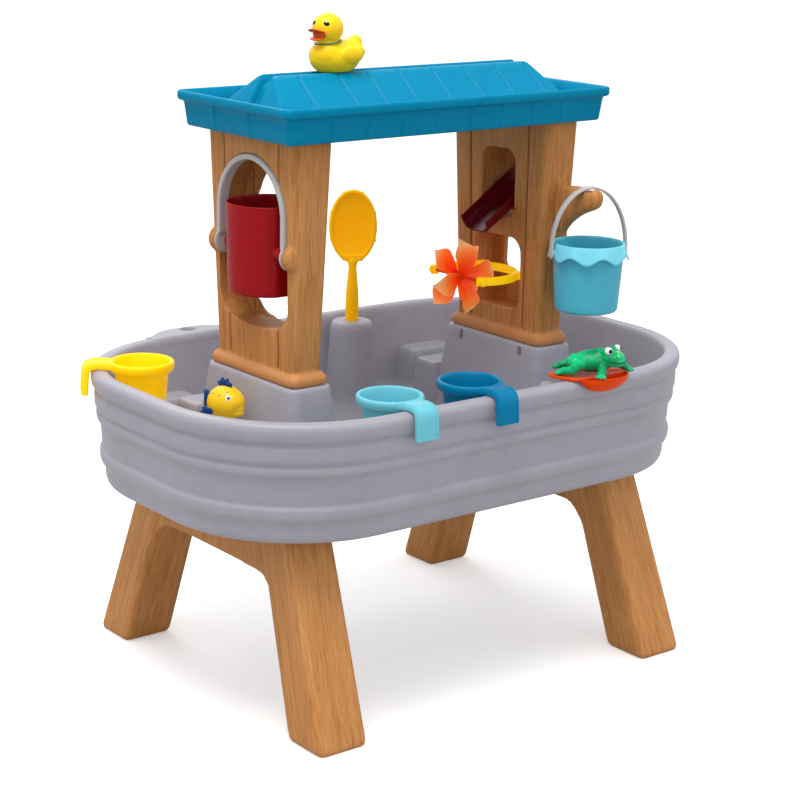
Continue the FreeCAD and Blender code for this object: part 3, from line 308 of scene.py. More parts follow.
def frog_vinyl():
    """Green vinyl with yellowish spots on the upper part."""
    g = Shader("frog_vinyl_m")
    cells = g.node("ShaderNodeTexVoronoi")
    cells.inputs["Scale"].default_value = 96.0
    g.feed(cells.inputs["Vector"], g.object_coords())
    spot = g.calc("LESS_THAN", cells.outputs["Distance"], 0.24)
    high = g.calc("GREATER_THAN", g.split()[2], 0.4925)
    base = g.ramp(g.noise(scale=30.0, detail=4.0),
                  [(0.35, linear((0, 134, 78))), (0.52, linear((0, 176, 110))),
                   (0.68, linear((10, 202, 134)))])
    spotted = g.times(g.times(spot, high), 0.75)
    g.surface({
        "Base Color": g.mix(spotted, base, linear((198, 214, 72))),
        "Roughness": 0.33,
        "Specular IOR Level": 0.22,
        "Normal": g.bump(g.noise(scale=220.0, detail=3.0), strength=0.18, distance=0.0012),
    })
    return g.material


# key: (material, sRGB, roughness, skin scale, skin depth, tint, other plastic() settings)
PLASTICS = {
    # the grey's painted glow lightens the whole tub; it is meant for the tub's shaded inner walls
    "grey": ("tub_grey_plastic_m", (157, 155, 165), 0.36, 520.0, 0.12, 0.035,
             dict(specular=0.34, wear=0.03, painted_glow=0.12)),
    "blue": ("blue_plastic_m", (0, 132, 172), 0.30, 620.0, 0.08, 0.05, dict(specular=0.06)),
    "red": ("red_plastic_m", (160, 14, 24), 0.30, 700.0, 0.08, 0.05, dict(specular=0.16)),
    "dark red": ("dark_red_plastic_m", (104, 8, 18), 0.26, 700.0, 0.06, 0.06,
                 dict(specular=0.20)),
    "pale": ("pale_grey_plastic_m", (190, 188, 188), 0.36, 640.0, 0.12, 0.04, {}),
    # painted_glow on this row and the rows below is a painted glow, standing in for light shining
    # through the plastic
    "yellow": ("yellow_plastic_m", (255, 200, 6), 0.26, 700.0, 0.05, 0.03,
               dict(specular=0.16, subsurface=0.05, painted_glow=0.40)),
    "net": ("net_yellow_plastic_m", (252, 186, 4), 0.30, 700.0, 0.05, 0.04,
            dict(specular=0.14, subsurface=0.08, painted_glow=0.20)),
    "orange": ("orange_plastic_m", (238, 72, 4), 0.34, 700.0, 0.05, 0.05,
               dict(specular=0.10, subsurface=0.04, painted_glow=0.05)),
    "sky": ("sky_blue_plastic_m", (84, 186, 212), 0.30, 700.0, 0.06, 0.04,
            dict(specular=0.16, subsurface=0.03, painted_glow=0.03)),
    "light sky": ("sky_blue_light_plastic_m", (118, 206, 226), 0.28, 700.0, 0.05, 0.03,
                  dict(specular=0.18, subsurface=0.03, painted_glow=0.04)),
    "aqua": ("aqua_plastic_m", (112, 198, 214), 0.27, 700.0, 0.05, 0.03,
             dict(specular=0.16, subsurface=0.03, painted_glow=0.04)),
    "teal": ("teal_plastic_m", (0, 122, 168), 0.27, 700.0, 0.05, 0.05,
             dict(specular=0.12, painted_glow=0.03)),
    "duck": ("duck_yellow_vinyl_m", (253, 208, 22), 0.30, 500.0, 0.05, 0.05,
             dict(subsurface=0.10, painted_glow=0.06)),
    "fish": ("fish_yellow_vinyl_m", (252, 204, 34), 0.32, 500.0, 0.08, 0.05,
             dict(subsurface=0.06, painted_glow=0.08)),
    "navy": ("fin_blue_vinyl_m", (14, 70, 134), 0.32, 500.0, 0.08, 0.06, {}),
    "bill": ("bill_orange_vinyl_m", (218, 92, 26), 0.34, 500.0, 0.06, 0.06, {}),
    "black": ("eye_black_m", (18, 14, 14), 0.18, 500.0, 0.02, 0.05, {}),
    "white": ("eye_white_m", (240, 240, 238), 0.25, 500.0, 0.02, 0.02, {}),
    "zinc": ("zinc_screw_m", (150, 150, 152), 0.35, 900.0, 0.10, 0.06, dict(metallic=1.0)),
    "mouth": ("frog_mouth_m", (8, 92, 52), 0.4, 700.0, 0.10, 0.05, {}),
    "collar": ("duck_collar_m", (60, 140, 96), 0.4, 700.0, 0.10, 0.05, {}),
}
MAT = {key: plastic(*row[:-1], **row[-1]) for key, row in PLASTICS.items()}
MAT["wood"] = wood("tan_plastic_m")
MAT["leg"] = wood("tan_leg_plastic_m", leg=True)
MAT["petal"] = petal_plastic()
MAT["frog"] = frog_vinyl()


# ---------------------------------------------------------------------------
# outlines and shapes; a shape is a pair (vertices, faces)
# ---------------------------------------------------------------------------
def clamp01(value):
    return max(0.0, min(1.0, value))


def smoothstep(value):
    return value * value * (3 - 2 * value)


def circle_angles(count):
    return [2 * math.pi * k / count for k in range(count)]


def arc(x, y, radius_x, radius_y, start, span, steps):
    angles = [start + span * k / steps for k in range(steps + 1)]
    return [(x + radius_x * math.cos(a), y + radius_y * math.sin(a)) for a in angles]


def smoothed(points, rounds=2, closed=False):
    """Chaikin corner cutting; an open line keeps its ends."""
    for _ in range(rounds):
        count = len(points)
        out = [] if closed else [points[0]]
        for i in range(count if closed else count - 1):
            a, b = np.array(points[i], float), np.array(points[(i + 1) % count], float)
            out.append(tuple(a * 0.75 + b * 0.25))
            out.append(tuple(a * 0.25 + b * 0.75))
        if not closed:
            out.append(points[-1])
        points = out
    return points


def rounded_rect(half_x, half_y, radius, z, corner_steps, side_steps, centre_x=0.0, centre_y=0.0):
    points = []
    radius = min(radius, half_x - 0.01, half_y - 0.01)
    corners = [(1, 1, 0), (-1, 1, 90), (-1, -1, 180), (1, -1, 270)]
    for i, (sign_x, sign_y, start) in enumerate(corners):
        corner_x, corner_y = sign_x * (half_x - radius), sign_y * (half_y - radius)
        for k in range(corner_steps + 1):
            a = math.radians(start + 90.0 * k / corner_steps)
            points.append((centre_x + corner_x + radius * math.cos(a),
                           centre_y + corner_y + radius * math.sin(a), z))
        sign_x, sign_y, start = corners[(i + 1) % 4]
        a = math.radians(start)
        last = points[-1]
        following = (centre_x + sign_x * (half_x - radius) + radius * math.cos(a),
                     centre_y + sign_y * (half_y - radius) + radius * math.sin(a))
        for k in range(1, side_steps):
            t = k / side_steps
            points.append((last[0] + (following[0] - last[0]) * t,
                           last[1] + (following[1] - last[1]) * t, z))
    return points


def rect_section(half_a, half_b, radius, corner_steps=4):
    return [p[:2] for p in rounded_rect(half_a, half_b, radius, 0, corner_steps, 1)]


def rings(rows, caps=False, closed=False):
    """Skins equal rings of points; closed joins the last ring to the first."""
    count, total = len(rows[0]), len(rows)
    verts = [tuple(p) for row in rows for p in row]
    faces = []
    for i in range(total if closed else total - 1):
        a, b = i * count, ((i + 1) % total) * count
        for j in range(count):
            k = (j + 1) % count
            faces.append((a + j, a + k, b + k, b + j))
    if caps:
        faces.append(tuple(reversed(range(count))))
        faces.append(tuple(range((total - 1) * count, total * count)))
    return verts, faces


def loft(rows, corner_steps=8, side_steps=10):
    """Rounded rectangles; rows are (centre x, centre y, half x, half y, corner radius, z)."""
    return rings([rounded_rect(half_x, half_y, radius, z, corner_steps, side_steps, x, y)
                  for x, y, half_x, half_y, radius, z in rows], caps=True)


def prism_x(outline, x0, x1):
    return rings([[(x, y, z) for y, z in outline] for x in (x0, x1)], caps=True)


def prism_y(outline, y0, y1):
    return rings([[(x, y, z) for x, z in outline] for y in (y0, y1)], caps=True)


def lathe(profile, segments, x=0.0, y=0.0, caps=False):
    """Turns (radius, z) points about a vertical axis."""
    rows = []
    for radius, z in profile:
        radius = max(radius, 0.02)
        rows.append([(x + radius * math.cos(a), y + radius * math.sin(a), z)
                     for a in circle_angles(segments)])
    return rings(rows, caps)


def reshape(shape, move):
    verts, faces = shape
    return [tuple(move(p)) for p in verts], faces


def pin_x(profile, side, x, z, segments):
    """A turned part whose axis points along side * X."""
    return reshape(lathe(profile, segments), lambda p: (side * (x + p[2]), p[0], z + p[1]))


def pin_y(profile, side, x, y, z, segments):
    """A turned part whose axis points along side * Y."""
    return reshape(lathe(profile, segments), lambda p: (x + p[0], side * (y + p[2]), z + p[1]))


def join(*shapes):
    verts, faces = [], []
    for part_verts, part_faces in shapes:
        start = len(verts)
        verts += part_verts
        faces += [tuple(i + start for i in face) for face in part_faces]
    return verts, faces


def rotate(shape, degrees, centre=(0, 0, 0)):
    turn = Matrix.Rotation(math.radians(degrees), 3, "Z")
    pivot = Vector(centre)
    return reshape(shape, lambda p: turn @ (Vector(p) - pivot) + pivot)


def shift(shape, x, y, z):
    return reshape(shape, lambda p: (p[0] + x, p[1] + y, p[2] + z))


def placed(shape, degrees, x, y, z=0.0):
    """Takes a shape out of a local frame such as LAUNCHER or PAIL."""
    c, s = math.cos(math.radians(degrees)), math.sin(math.radians(degrees))
    return reshape(shape, lambda p: (x + p[0] * c - p[1] * s, y + p[0] * s + p[1] * c, z + p[2]))


def orient(shape, place, direction):
    """Turns a shape drawn along +X to point along direction, at place."""
    turn = Vector((1, 0, 0)).rotation_difference(Vector(direction).normalized()).to_matrix()
    return reshape(shape, lambda p: Vector(place) + turn @ Vector(p))


def tangent(points, i, closed):
    if closed:
        return (points[(i + 1) % len(points)] - points[i - 1]).normalized()
    return (points[min(i + 1, len(points) - 1)] - points[max(i - 1, 0)]).normalized()


def tube(path, radius, segments, closed=False):
    """Round tube along a path; radius is one number or a list."""
    points = [Vector(p) for p in path]
    radii = radius if isinstance(radius, list) else [radius] * len(points)
    rows = []
    across = None
    for i, point in enumerate(points):
        along = tangent(points, i, closed)
        if across is None:
            across = Vector((0, 0, 1)) if abs(along.z) < 0.9 else Vector((1, 0, 0))
        across = (across - along * across.dot(along)).normalized()
        other = along.cross(across)
        rows.append([tuple(point + (across * math.cos(a) + other * math.sin(a)) * radii[i])
                     for a in circle_angles(segments)])
    return rings(rows, caps=not closed, closed=closed)


def sweep(path, section, ups, closed=False, scales=None):
    """Sweeps a section of (across, up) points; ups and scales hold one entry per path point."""
    points = [Vector(p) for p in path]
    rows = []
    for i, point in enumerate(points):
        along = tangent(points, i, closed)
        up = Vector(ups[i])
        up = (up - along * up.dot(along)).normalized()
        across = along.cross(up)
        scale = scales[i] if scales else (1.0, 1.0)
        rows.append([tuple(point + across * (q[0] * scale[0]) + up * (q[1] * scale[1]))
                     for q in section])
    return rings(rows, caps=not closed, closed=closed)


def ball(x, y, z, radius_x, radius_y, radius_z, around=28, levels=18):
    rows = []
    for i in range(levels + 1):
        tilt = -math.pi / 2 + math.pi * i / levels
        c = max(math.cos(tilt), 1e-4)
        rows.append([(x + radius_x * c * math.cos(a), y + radius_y * c * math.sin(a),
                      z + radius_z * math.sin(tilt)) for a in circle_angles(around)])
    return rings(rows, caps=True)


def balls(table):
    """Rows are (x, y, z, radius x, radius y, radius z), then segments if not the usual."""
    return join(*(ball(*row) for row in table))


# ---------------------------------------------------------------------------
# objects
# ---------------------------------------------------------------------------
def new_object(name, shape):
    verts, faces = shape
    mesh = bpy.data.meshes.new(name)
    mesh.from_pydata([to_metres(*v) for v in verts], [], faces)
    mesh.validate()
    mesh.update()
    bm = bmesh.new()
    bm.from_mesh(mesh)
    bmesh.ops.recalc_face_normals(bm, faces=bm.faces)
    bm.to_mesh(mesh)
    bm.free()
    ob = bpy.data.objects.new(name, mesh)
    bpy.context.scene.collection.objects.link(ob)
    return ob


def shade(ob, angle=None):
    ob.data.polygons.foreach_set("use_smooth", [True] * len(ob.data.polygons))
    if angle is not None:
        ob.data.set_sharp_from_angle(angle=math.radians(angle))


def attach(ob, body, replaces):
    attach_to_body(ob, body)
    if replaces:
        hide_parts(replaces)


def add_mesh(name, shape, paint, body=None, replaces=None, angle=40.0):
    ob = new_object(name, shape)
    shade(ob, angle)
    ob.data.materials.append(MAT[paint])
    if body:
        attach(ob, body, replaces)
    return ob


def finish(ob, paint, body, replaces=None, angle=None):
    """Shades, paints and attaches an object whose mesh has been cut or remeshed."""
    shade(ob, angle)
    ob.data.materials.clear()
    ob.data.materials.append(MAT[paint])
    attach(ob, body, replaces)


def apply_modifiers(ob):
    depsgraph = bpy.context.evaluated_depsgraph_get()
    mesh = bpy.data.meshes.new_from_object(ob.evaluated_get(depsgraph))
    ob.modifiers.clear()
    old = ob.data
    ob.data = mesh
    bpy.data.meshes.remove(old)


def cut(ob, cutters):
    for shape in cutters:
        cutter = new_object("cutter_tmp", shape)
        boolean = ob.modifiers.new("cut", "BOOLEAN")
        boolean.operation = "DIFFERENCE"
        boolean.solver = "EXACT"
        boolean.object = cutter
        apply_modifiers(ob)
        bpy.data.objects.remove(cutter)


def remesh(ob, voxel, relax):
    """Voxel union of the closed shells in ob, relaxed to round its edges as a moulding's are."""
    union = ob.modifiers.new("rm", "REMESH")
    union.mode = "VOXEL"
    union.voxel_size = voxel / 1000.0
    union.adaptivity = 0.0
    smooth = ob.modifiers.new("sm", "SMOOTH")
    smooth.factor = 0.5
    smooth.iterations = relax
    apply_modifiers(ob)
    shade(ob)


def remeshed(name, shape, paint, voxel, relax):
    ob = add_mesh(name, shape, paint)
    remesh(ob, voxel, relax)
    return ob


def flatten_below(ob, floor):
    for vert in ob.data.vertices:
        if vert.co.z < floor / 1000.0:
            vert.co.z = floor / 1000.0


# ---------------------------------------------------------------------------
# CAD pieces that stay visible are painted by their material slot
# ---------------------------------------------------------------------------
SLOT_PAINT = {
    "tub_grey_plastic": "grey", "tan_plastic": "wood", "blue_plastic": "blue",
    "red_plastic": "red", "dark_red_plastic": "dark red", "pale_grey_plastic": "pale",
    "yellow_plastic": "yellow", "orange_plastic": "petal", "sky_blue_plastic": "sky",
    "aqua_plastic": "aqua", "teal_plastic": "teal", "green_plastic": "frog",
    "fish_yellow_plastic": "fish", "duck_yellow_plastic": "duck", "netting": "yellow",
    "zinc_screw": "zinc", "spoon_orange_plastic": "orange",
}


def paint_cad():
    slots = {part["node"]: part["material_slot"] for part in frame["record"]["subparts"]}
    for name, ob in frame["nodes"].items():
        paint = SLOT_PAINT.get(slots[name], "grey")
        if name.endswith("leg_frame"):
            paint = "leg"
        if name == "spinner_axle":
            paint = "orange"
        materials = ob.data.materials
        if not materials:
            materials.append(MAT[paint])
        for i in range(len(materials)):
            materials[i] = MAT[paint]


paint_cad()

# ---------------------------------------------------------------------------
# tub
# ---------------------------------------------------------------------------
# (z, inset from the rim's nominal outline): up the outside, over the rim, down the inside
TUB_UNDERSIDE = [(320.4, 60.0), (320.4, 34.0), (316.0, 27.0), (300.0, 21.5), (290.0, 21.5),
                 (286.2, 24.5), (286.2, 27.5)]
TUB_WALL = [
    (286.0, 23.0), (288.0, 18.0), (292.0, 15.0), (298.0, 13.4), (304.0, 13.3), (311.0, 13.0),
    (315.0, 11.6), (318.5, 9.4), (321.5, 7.0), (325.0, 5.8), (333.0, 5.6), (336.5, 6.2),
    (339.0, 8.6), (341.5, 10.0), (345.0, 9.4), (352.0, 8.6), (368.0, 7.6), (377.0, 7.0),
    (381.0, 6.0), (383.0, 3.2), (385.5, 1.6), (390.0, 1.2), (394.0, 1.4), (396.5, 3.4),
    (399.0, 3.6), (401.0, 1.6), (403.5, -0.4), (410.0, -1.0), (420.0, -1.0), (424.0, -0.4),
    (426.5, 1.8), (429.0, 2.0), (431.0, -1.0), (433.5, -3.6), (439.0, -5.2), (446.0, -5.8),
    (451.0, -5.0), (455.0, -2.6), (457.2, 2.0), (457.6, 7.0), (457.4, 12.0), (456.4, 15.4),
    (454.0, 17.6), (450.0, 19.0), (440.0, 20.0), (390.0, 25.0), (345.0, 30.0), (335.0, 32.0),
    (329.0, 35.5), (326.0, 40.5), (325.0, 48.0),
]


def build_tub_shell():
    bottom = [(320.4, 170.0)]
    floor = [(TUB_FLOOR, inset) for inset in (90.0, 140.0, 190.0)]
    rows = [rounded_rect(RIM_HALF_X - inset, RIM_HALF_Y - inset, RIM_CORNER - inset, z, 26, 26)
            for z, inset in bottom + TUB_UNDERSIDE + smoothed(TUB_WALL, 1) + floor]
    tub = add_mesh("tub_shell", rings(rows, caps=True), "grey", angle=60)
    cut(tub, [lathe([(0, 300), (12.5, 300), (12.5, 330), (0, 330)], 40)])     # drain hole
    finish(tub, "grey", "table", "tub", angle=50)


def pedestal(side):
    """Block in the tub that carries a tower."""
    x = side * TOWER_X
    rows = [(x, 0, 62.0, 137.0, 26, 322.0), (x, 0, 58.0, 133.0, 24, 326.5),
            (x, 0, 54.5, 129.5, 21, 332.0), (x, 0, 51.6, 126.6, 19, 340.0)]
    for k in range(1, 9):
        z = 340.0 + (454.0 - 340.0) * k / 8.0
        half = PEDESTAL_HALF + (459.5 - z) * 0.125
        rows.append((x, 0, half, half + 75.0, 17.0 - k * 0.25, z))
    rows += [(x, 0, 35.2, 110.2, 14.5, 457.0), (x, 0, 34.0, 109.0, 13.5, 459.0),
             (x, 0, 32.5, 107.5, 12.5, 459.5)]
    return loft(rows)


def back_blocks(side):
    """Two low blocks behind a pedestal; the rear one is taller on the right."""
    x, rear_x = side * 225.5, side * 252.0
    top = 389.0 if side > 0 else 375.0
    return join(
        loft([(x, 134, 66, 33, 9, 323.0), (x, 134, 62, 30, 8, 330.0),
              (x, 132, 58.5, 27, 8, 388.0), (x, 131.5, 57, 25.5, 7, 393.0),
              (x, 131, 54.5, 23.5, 6, 395.5)]),
        loft([(rear_x, 233, 56, 30, 11, 323.0), (rear_x, 234, 50, 26, 10, 332.0),
              (rear_x, 236, 46, 24, 10, top - 12.0), (rear_x, 236, 43, 21, 9, top - 3.0),
              (rear_x, 236, 38, 16, 7, top)]))


def kept_inside(shape, inset):
    """Draws a feature's points in to the tub's sloping wall."""
    def move(p):
        x, y, z = p
        depth = inset + max(0.0, 450.0 - z) * 0.088
        half_x, half_y, radius = RIM_HALF_X - depth, RIM_HALF_Y - depth, RIM_CORNER - depth
        size_x, size_y = abs(x), abs(y)
        if size_x > half_x - radius and size_y > half_y - radius:
            out_x, out_y = size_x - (half_x - radius), size_y - (half_y - radius)
            reach = math.hypot(out_x, out_y)
            if reach > radius:
                size_x = half_x - radius + out_x * radius / reach
                size_y = half_y - radius + out_y * radius / reach
        else:
            size_x, size_y = min(size_x, half_x), min(size_y, half_y)
        return (math.copysign(size_x, x), math.copysign(size_y, y), z)
    return reshape(shape, move)


def build_tub_features():
    net_post = lathe([(0, 322), (47, 322), (43.5, 329), (41.5, 338), (34.5, 443), (33.0, 448),
                      (30.5, 451.5), (27.0, 452.8), (0, 452.8)], 64, NET_X, NET_Y)
    launcher_pad = placed(loft([
        (-4, 0, 10, 10, 5, 400), (-7, 0, 20, 17, 8, 425), (-9, 0, 25, 20, 9, 438),
        (-9, 0, 27, 20.5, 9, 443), (-9, 0, 25, 18.5, 8, 446.5)]), *LAUNCHER)
    shape = join(pedestal(1), pedestal(-1),
                 kept_inside(back_blocks(1), 17.0), kept_inside(back_blocks(-1), 17.0),
                 kept_inside(net_post, 17.0), kept_inside(launcher_pad, 12.0))
    features = remeshed("tub_moulded_features", shape, "grey", voxel=2.4, relax=5)
    # the net's socket, and two notches in each pedestal's inner face
    cutters = [lathe([(0, 395), (10.6, 395), (10.6, 449.5), (12.5, 456), (0, 456)],
                     48, NET_X, NET_Y)]
    for side in SIDES:
        face = side * (TOWER_X - PEDESTAL_HALF)
        x0, x1 = sorted((face - side * 8, face + side * 5.2))
        for y in (-69.0, 69.0):
            outline = arc(y, 444.0, 4.6, 4.6, math.pi, math.pi, 12)
            outline += [(y + 4.6, 452.5), (y + 3.4, 455.0), (y - 3.4, 455.0), (y - 4.6, 452.5)]
            cutters.append(prism_x(outline, x0, x1))
    cut(features, cutters)
    finish(features, "grey", "table", angle=55)


def build_rim_socket():
    """A bulge of the back rim with a round socket in it."""
    socket_x, socket_y, bulge, half_length = -178.0, 291.0, 26.0, 78.0
    rows = []
    for i in range(49):
        x = -258.0 + 160.0 * i / 48
        swell = smoothstep(max(0.0, 1.0 - abs((x - socket_x) / half_length) ** 2.0))
        y = RIM_HALF_Y + 5.0 + swell * bulge
        section = [
            (262.0, 452.0), (265.0, 457.0), (268.0, 458.0 + swell), (y - 8.0, 458.0 + swell),
            (y - 3.0, 457.0 + swell), (y - 0.4, 453.5), (y, 449.0), (y - 0.3, 443.0),
            (y - 2.0 - 3 * swell, 436.0), (y - 5.0 - 11 * swell, 424.0),
            (283.0, 408.0), (272.0, 402.0), (263.0, 430.0)]
        rows.append([(x, a, z) for a, z in smoothed(section, 1, closed=True)])
    socket = add_mesh("tub_rim_socket", rings(rows, caps=True), "grey")
    cut(socket, [lathe([(0, 372), (10.0, 372), (10.0, 453.0), (13.5, 459.8), (0, 459.8)],
                       48, socket_x, socket_y)])
    finish(socket, "grey", "table", angle=50)


def build_launcher_ears():
    """Two upright ears on the tub, one on each side of the launcher's lug."""
    outline = arc(0.0, 452.5, 5.0, 5.0, 0.0, math.pi, 16) + [(-5.6, 445.0), (5.6, 445.0)]
    ears = [prism_y(outline, side * 9.0 - 2.0, side * 9.0 + 2.0) for side in SIDES]
    add_mesh("tub_launcher_ears", placed(join(*ears), *LAUNCHER), "grey",
             "table")


build_tub_shell()
build_tub_features()
build_rim_socket()
build_launcher_ears()

# ---------------------------------------------------------------------------
# leg frames
# ---------------------------------------------------------------------------
# (z, amount taken off the leg's half sizes)
LEG_STATIONS = [(0.0, 2.6), (2.0, 0.4), (6.0, -1.4)]
LEG_STATIONS += [(z, -1.8) for z in (14.0, 60.0, 110.0, 160.0, 210.0, 260.0, 300.0, 305.0)]
# (y, z) outline of the beam between a front and a back leg, arched underneath
BEAM_OUTLINE = [
    (-166, 180), (-158, 184), (-150, 193), (-140, 204), (-128, 210.5), (-112, 213.2),
    (-60, 213.8), (0, 213.8), (60, 213.8), (112, 213.2), (128, 210.5), (140, 204),
    (150, 193), (158, 184), (166, 180), (152, 290), (142, 304), (-142, 304), (-152, 290),
]


def leg(side_x, side_y):
    rows = []
    for z, less in LEG_STATIONS:
        t = z / 306.0
        x, y = 301.0 + (285.6 - 301.0) * t, 256.4 + (145.2 - 256.4) * t
        half_x, half_y = 39.0 - 3.0 * t, 38.1 - 5.1 * t
        rows.append((side_x * x, side_y * y, half_x - less, half_y - less, 8.0 - less * 0.4, z))
    return loft(rows, 6, 3)


def beam(side):
    inner = [(side * 252.0, y, z) for y, z in BEAM_OUTLINE]
    outer = [(side * 325.0 - side * (z - 190.0) * 0.055, y, z) for y, z in BEAM_OUTLINE]
    return rings([inner, outer], caps=True)


def build_leg_frame(name, side):
    ob = remeshed(name + "_moulding", join(leg(side, 1), leg(side, -1), beam(side)), "leg",
                  voxel=2.4, relax=3)
    # the beam's underside is open between its two skins
    x0, x1 = sorted((side * 258.0, side * 313.0))
    cut(ob, [rings([[(x0, -114, z), (x1, -114, z), (x1, 114, z), (x0, 114, z)]
                    for z in (190, 300)], caps=True)])
    finish(ob, "leg", "table", name, angle=50)


build_leg_frame("left_leg_frame", -1)
build_leg_frame("right_leg_frame", 1)

# ---------------------------------------------------------------------------
# towers
# ---------------------------------------------------------------------------
# (z, half width) of the trim round a tower's foot
TRIM_PROFILE = [(459.6, 0.0), (459.6, 31.2), (461.2, 32.8), (468.5, 33.0), (472.5, 31.6),
                (476.5, 27.5), (478.2, 23.8), (479.0, 0.0)]


def tower_body(side):
    x = side * TOWER_X
    wall = []
    for k in range(13):
        z = 462.0 + (800.4 - 462.0) * k / 12
        t = (z - TOWER_FOOT) / TOWER_RISE
        wall.append((x, 0, 25.2 + 6.3 * t, 96.3 + 13.5 * t, 11.0, z))
    trim = []
    for z, half in smoothed(TRIM_PROFILE, 1):
        if half > 1.0:
            half = max(half, 5.0)
            trim.append((x, 0, half, half + 73.0, min(13.0, half * 0.42), z))
    return join(loft(wall, 8, 12), loft(trim, 8, 12))


def arch(x0, x1, half, sill, radius, spring, sag=4.0):
    """Round-topped opening along X; its sill dips by sag in the middle."""
    flat = half - radius
    outline = arc(flat, sill + radius, radius, radius, -math.pi / 2, math.pi / 2, 10)
    outline += arc(0.0, spring, half, half, 0.0, math.pi, 32)[1:-1]
    outline += arc(-half + radius, sill + radius, radius, radius, math.pi, math.pi / 2, 10)
    for k in range(1, 8):
        y = -flat + 2 * flat * k / 8
        outline.append((y, sill - sag * (1 - (y / flat) ** 2)))
    return prism_x(outline, x0, x1)


def window(x0, x1, half_y, z0, z1, radius):
    ring = rounded_rect(half_y, (z1 - z0) / 2, radius, 0, 8, 3)
    return prism_x([(p[0], p[1] + (z0 + z1) / 2) for p in ring], x0, x1)


def press_joints(mesh, side):
    """Presses two plank joints into each broad face of a tower."""
    co = np.empty(len(mesh.vertices) * 3)
    mesh.vertices.foreach_get("co", co)
    co = co.reshape(-1, 3)
    x, y, z = co[:, 0] * 1000, co[:, 1] * 1000 - OFFSET_Y, co[:, 2] * 1000
    rise = (z - TOWER_FOOT) / TOWER_RISE
    ends = np.clip((z - 479.5) / 4.0, 0, 1) * np.clip((800.0 - z) / 4.0, 0, 1)
    push = np.zeros(len(co))
    for face in SIDES:
        near = np.exp(-((x - (side * TOWER_X + face * (25.2 + 6.3 * rise))) / 3.4) ** 2)
        for half in (1, -1):
            joint = half * (JOINT_Y + JOINT_SPREAD * rise)
            push += face * 2.9 * near * np.exp(-((y - joint) / 1.9) ** 2) * ends
    co[:, 0] -= push / 1000.0
    mesh.vertices.foreach_set("co", co.reshape(-1))
    mesh.update()


def build_tower(name, side, extras, cutters):
    ob = remeshed(name + "_moulding", join(tower_body(side), *extras), "wood",
                  voxel=1.9, relax=2)
    cut(ob, cutters)
    remesh(ob, voxel=1.6, relax=3)
    press_joints(ob.data, side)
    finish(ob, "wood", "table", name)


KNOB_PROFILE = smoothed([(0.0, -15.0), (20.0, -15.0), (20.0, -2.0), (17.5, 2.0), (12.0, 4.0),
                         (0.0, 4.6)])
build_tower("left_tower", -1,
            [pin_y(KNOB_PROFILE, side, BUCKET_AXIS_X, 98.0, BUCKET_AXIS_Z, 48) for side in SIDES],
            [arch(-285.0, -207.0, 84.5, 535.0, 38.0, 690.0),
             arch(-212.0, -170.0, 66.0, 535.0, 40.0, 690.0)])
build_tower("right_tower", 1, [],
            [window(180.0, 247.0, 38.0, 648.0, 751.0, 20.0),
             window(240.0, 275.0, 32.5, 652.0, 721.0, 16.0),
             window(180.0, 243.0, 53.0, 507.0, 617.0, 22.0),
             window(236.0, 275.0, 36.0, 553.0, 612.0, 16.0)])


def build_bucket_peg():
    """Upturned hook on the right tower's front end; the pail's bail hangs on it."""
    peg_x, saddle_z, root_y = 229.0, 703.4, -100.5
    path = smoothed([(-99.0, 668.0), (-112.0, 675.0), (-127.0, 681.0), (-144.0, 686.5),
                     (-160.0, 689.5), (-174.0, 691.5), (-181.0, 694.0)], 1)
    last = len(path) - 1
    scales = [(12.4, 26.0 * (1 - i / last) ** 1.4 + 12.6) for i in range(last + 1)]

    def squarish(value):
        return math.copysign(abs(value) ** 0.7, value)

    section = [(squarish(math.cos(a)), squarish(math.sin(a))) for a in circle_angles(28)]
    hook = sweep([(peg_x, y, z) for y, z in path], section, [(0, 0, 1)] * len(path),
                 scales=scales)
    ends = balls([(peg_x, -181.0, 694.5, 12.3, 9.6, 14.0),
                  (peg_x, -103.0, 706.0, 12.0, 9.0, 15.0)])
    peg = remeshed("bucket_peg_moulding", join(hook, ends), "wood", voxel=1.3, relax=6)
    for vert in peg.data.vertices:
        y, z = vert.co.y * 1000 - OFFSET_Y, vert.co.z * 1000
        # the saddle under the bail stays flat and low
        if -178.5 < y < -151.0 and z > saddle_z:
            vert.co.z = saddle_z / 1000.0
        if y > root_y:
            vert.co.y = (root_y + OFFSET_Y) / 1000.0
    finish(peg, "wood", "table", "bucket_peg")


build_bucket_peg()

# ---------------------------------------------------------------------------
# roof tray
# ---------------------------------------------------------------------------
PAN_SEAMS_X = [-210, -150, -89, -30.5, 29, 89, 147, 203]    # on the long walls
PAN_SEAMS_Y = [51.5, -35.5]                                 # on the end walls
# (z, half x, half y, corner radius, how far the seams push the wall outwards)
PAN_STATIONS = [
    (800.8, 268.0, 116.0, 4.14, 0), (800.8, 277.5, 124.2, 5.06, 0),
    (801.6, 280.2, 126.9, 5.98, 2.6), (804.0, 281.6, 128.3, 6.21, 2.6),
    (812.0, 282.4, 129.1, 6.44, 2.6), (820.0, 283.3, 130.0, 6.44, 2.6),
    (828.0, 284.1, 130.8, 6.44, 2.6), (834.0, 284.9, 131.6, 6.44, 2.6),
    (836.2, 286.2, 133.0, 6.9, 2.6), (837.0, 289.2, 136.2, 8.28, 0),
    (838.4, 291.4, 138.5, 9.2, 0), (841.0, 292.1, 139.2, 9.2, 0),
    (847.0, 292.2, 139.3, 9.2, 0), (849.6, 291.6, 138.6, 8.97, 0),
    (850.9, 289.9, 137.0, 8.51, 0), (850.6, 287.9, 135.0, 7.82, 0),
    (848.0, 286.2, 133.4, 7.36, 0), (843.0, 283.2, 130.2, 6.44, 1.3),
    (838.0, 281.0, 128.0, 5.52, 1.3), (820.0, 279.0, 126.0, 5.52, 1.3),
    (811.0, 277.2, 124.2, 5.06, 1.3), (807.5, 274.0, 121.0, 4.6, 0),
    (806.2, 268.0, 115.0, 4.14, 0), (806.0, 250.0, 90.0, 3.68, 0),
]
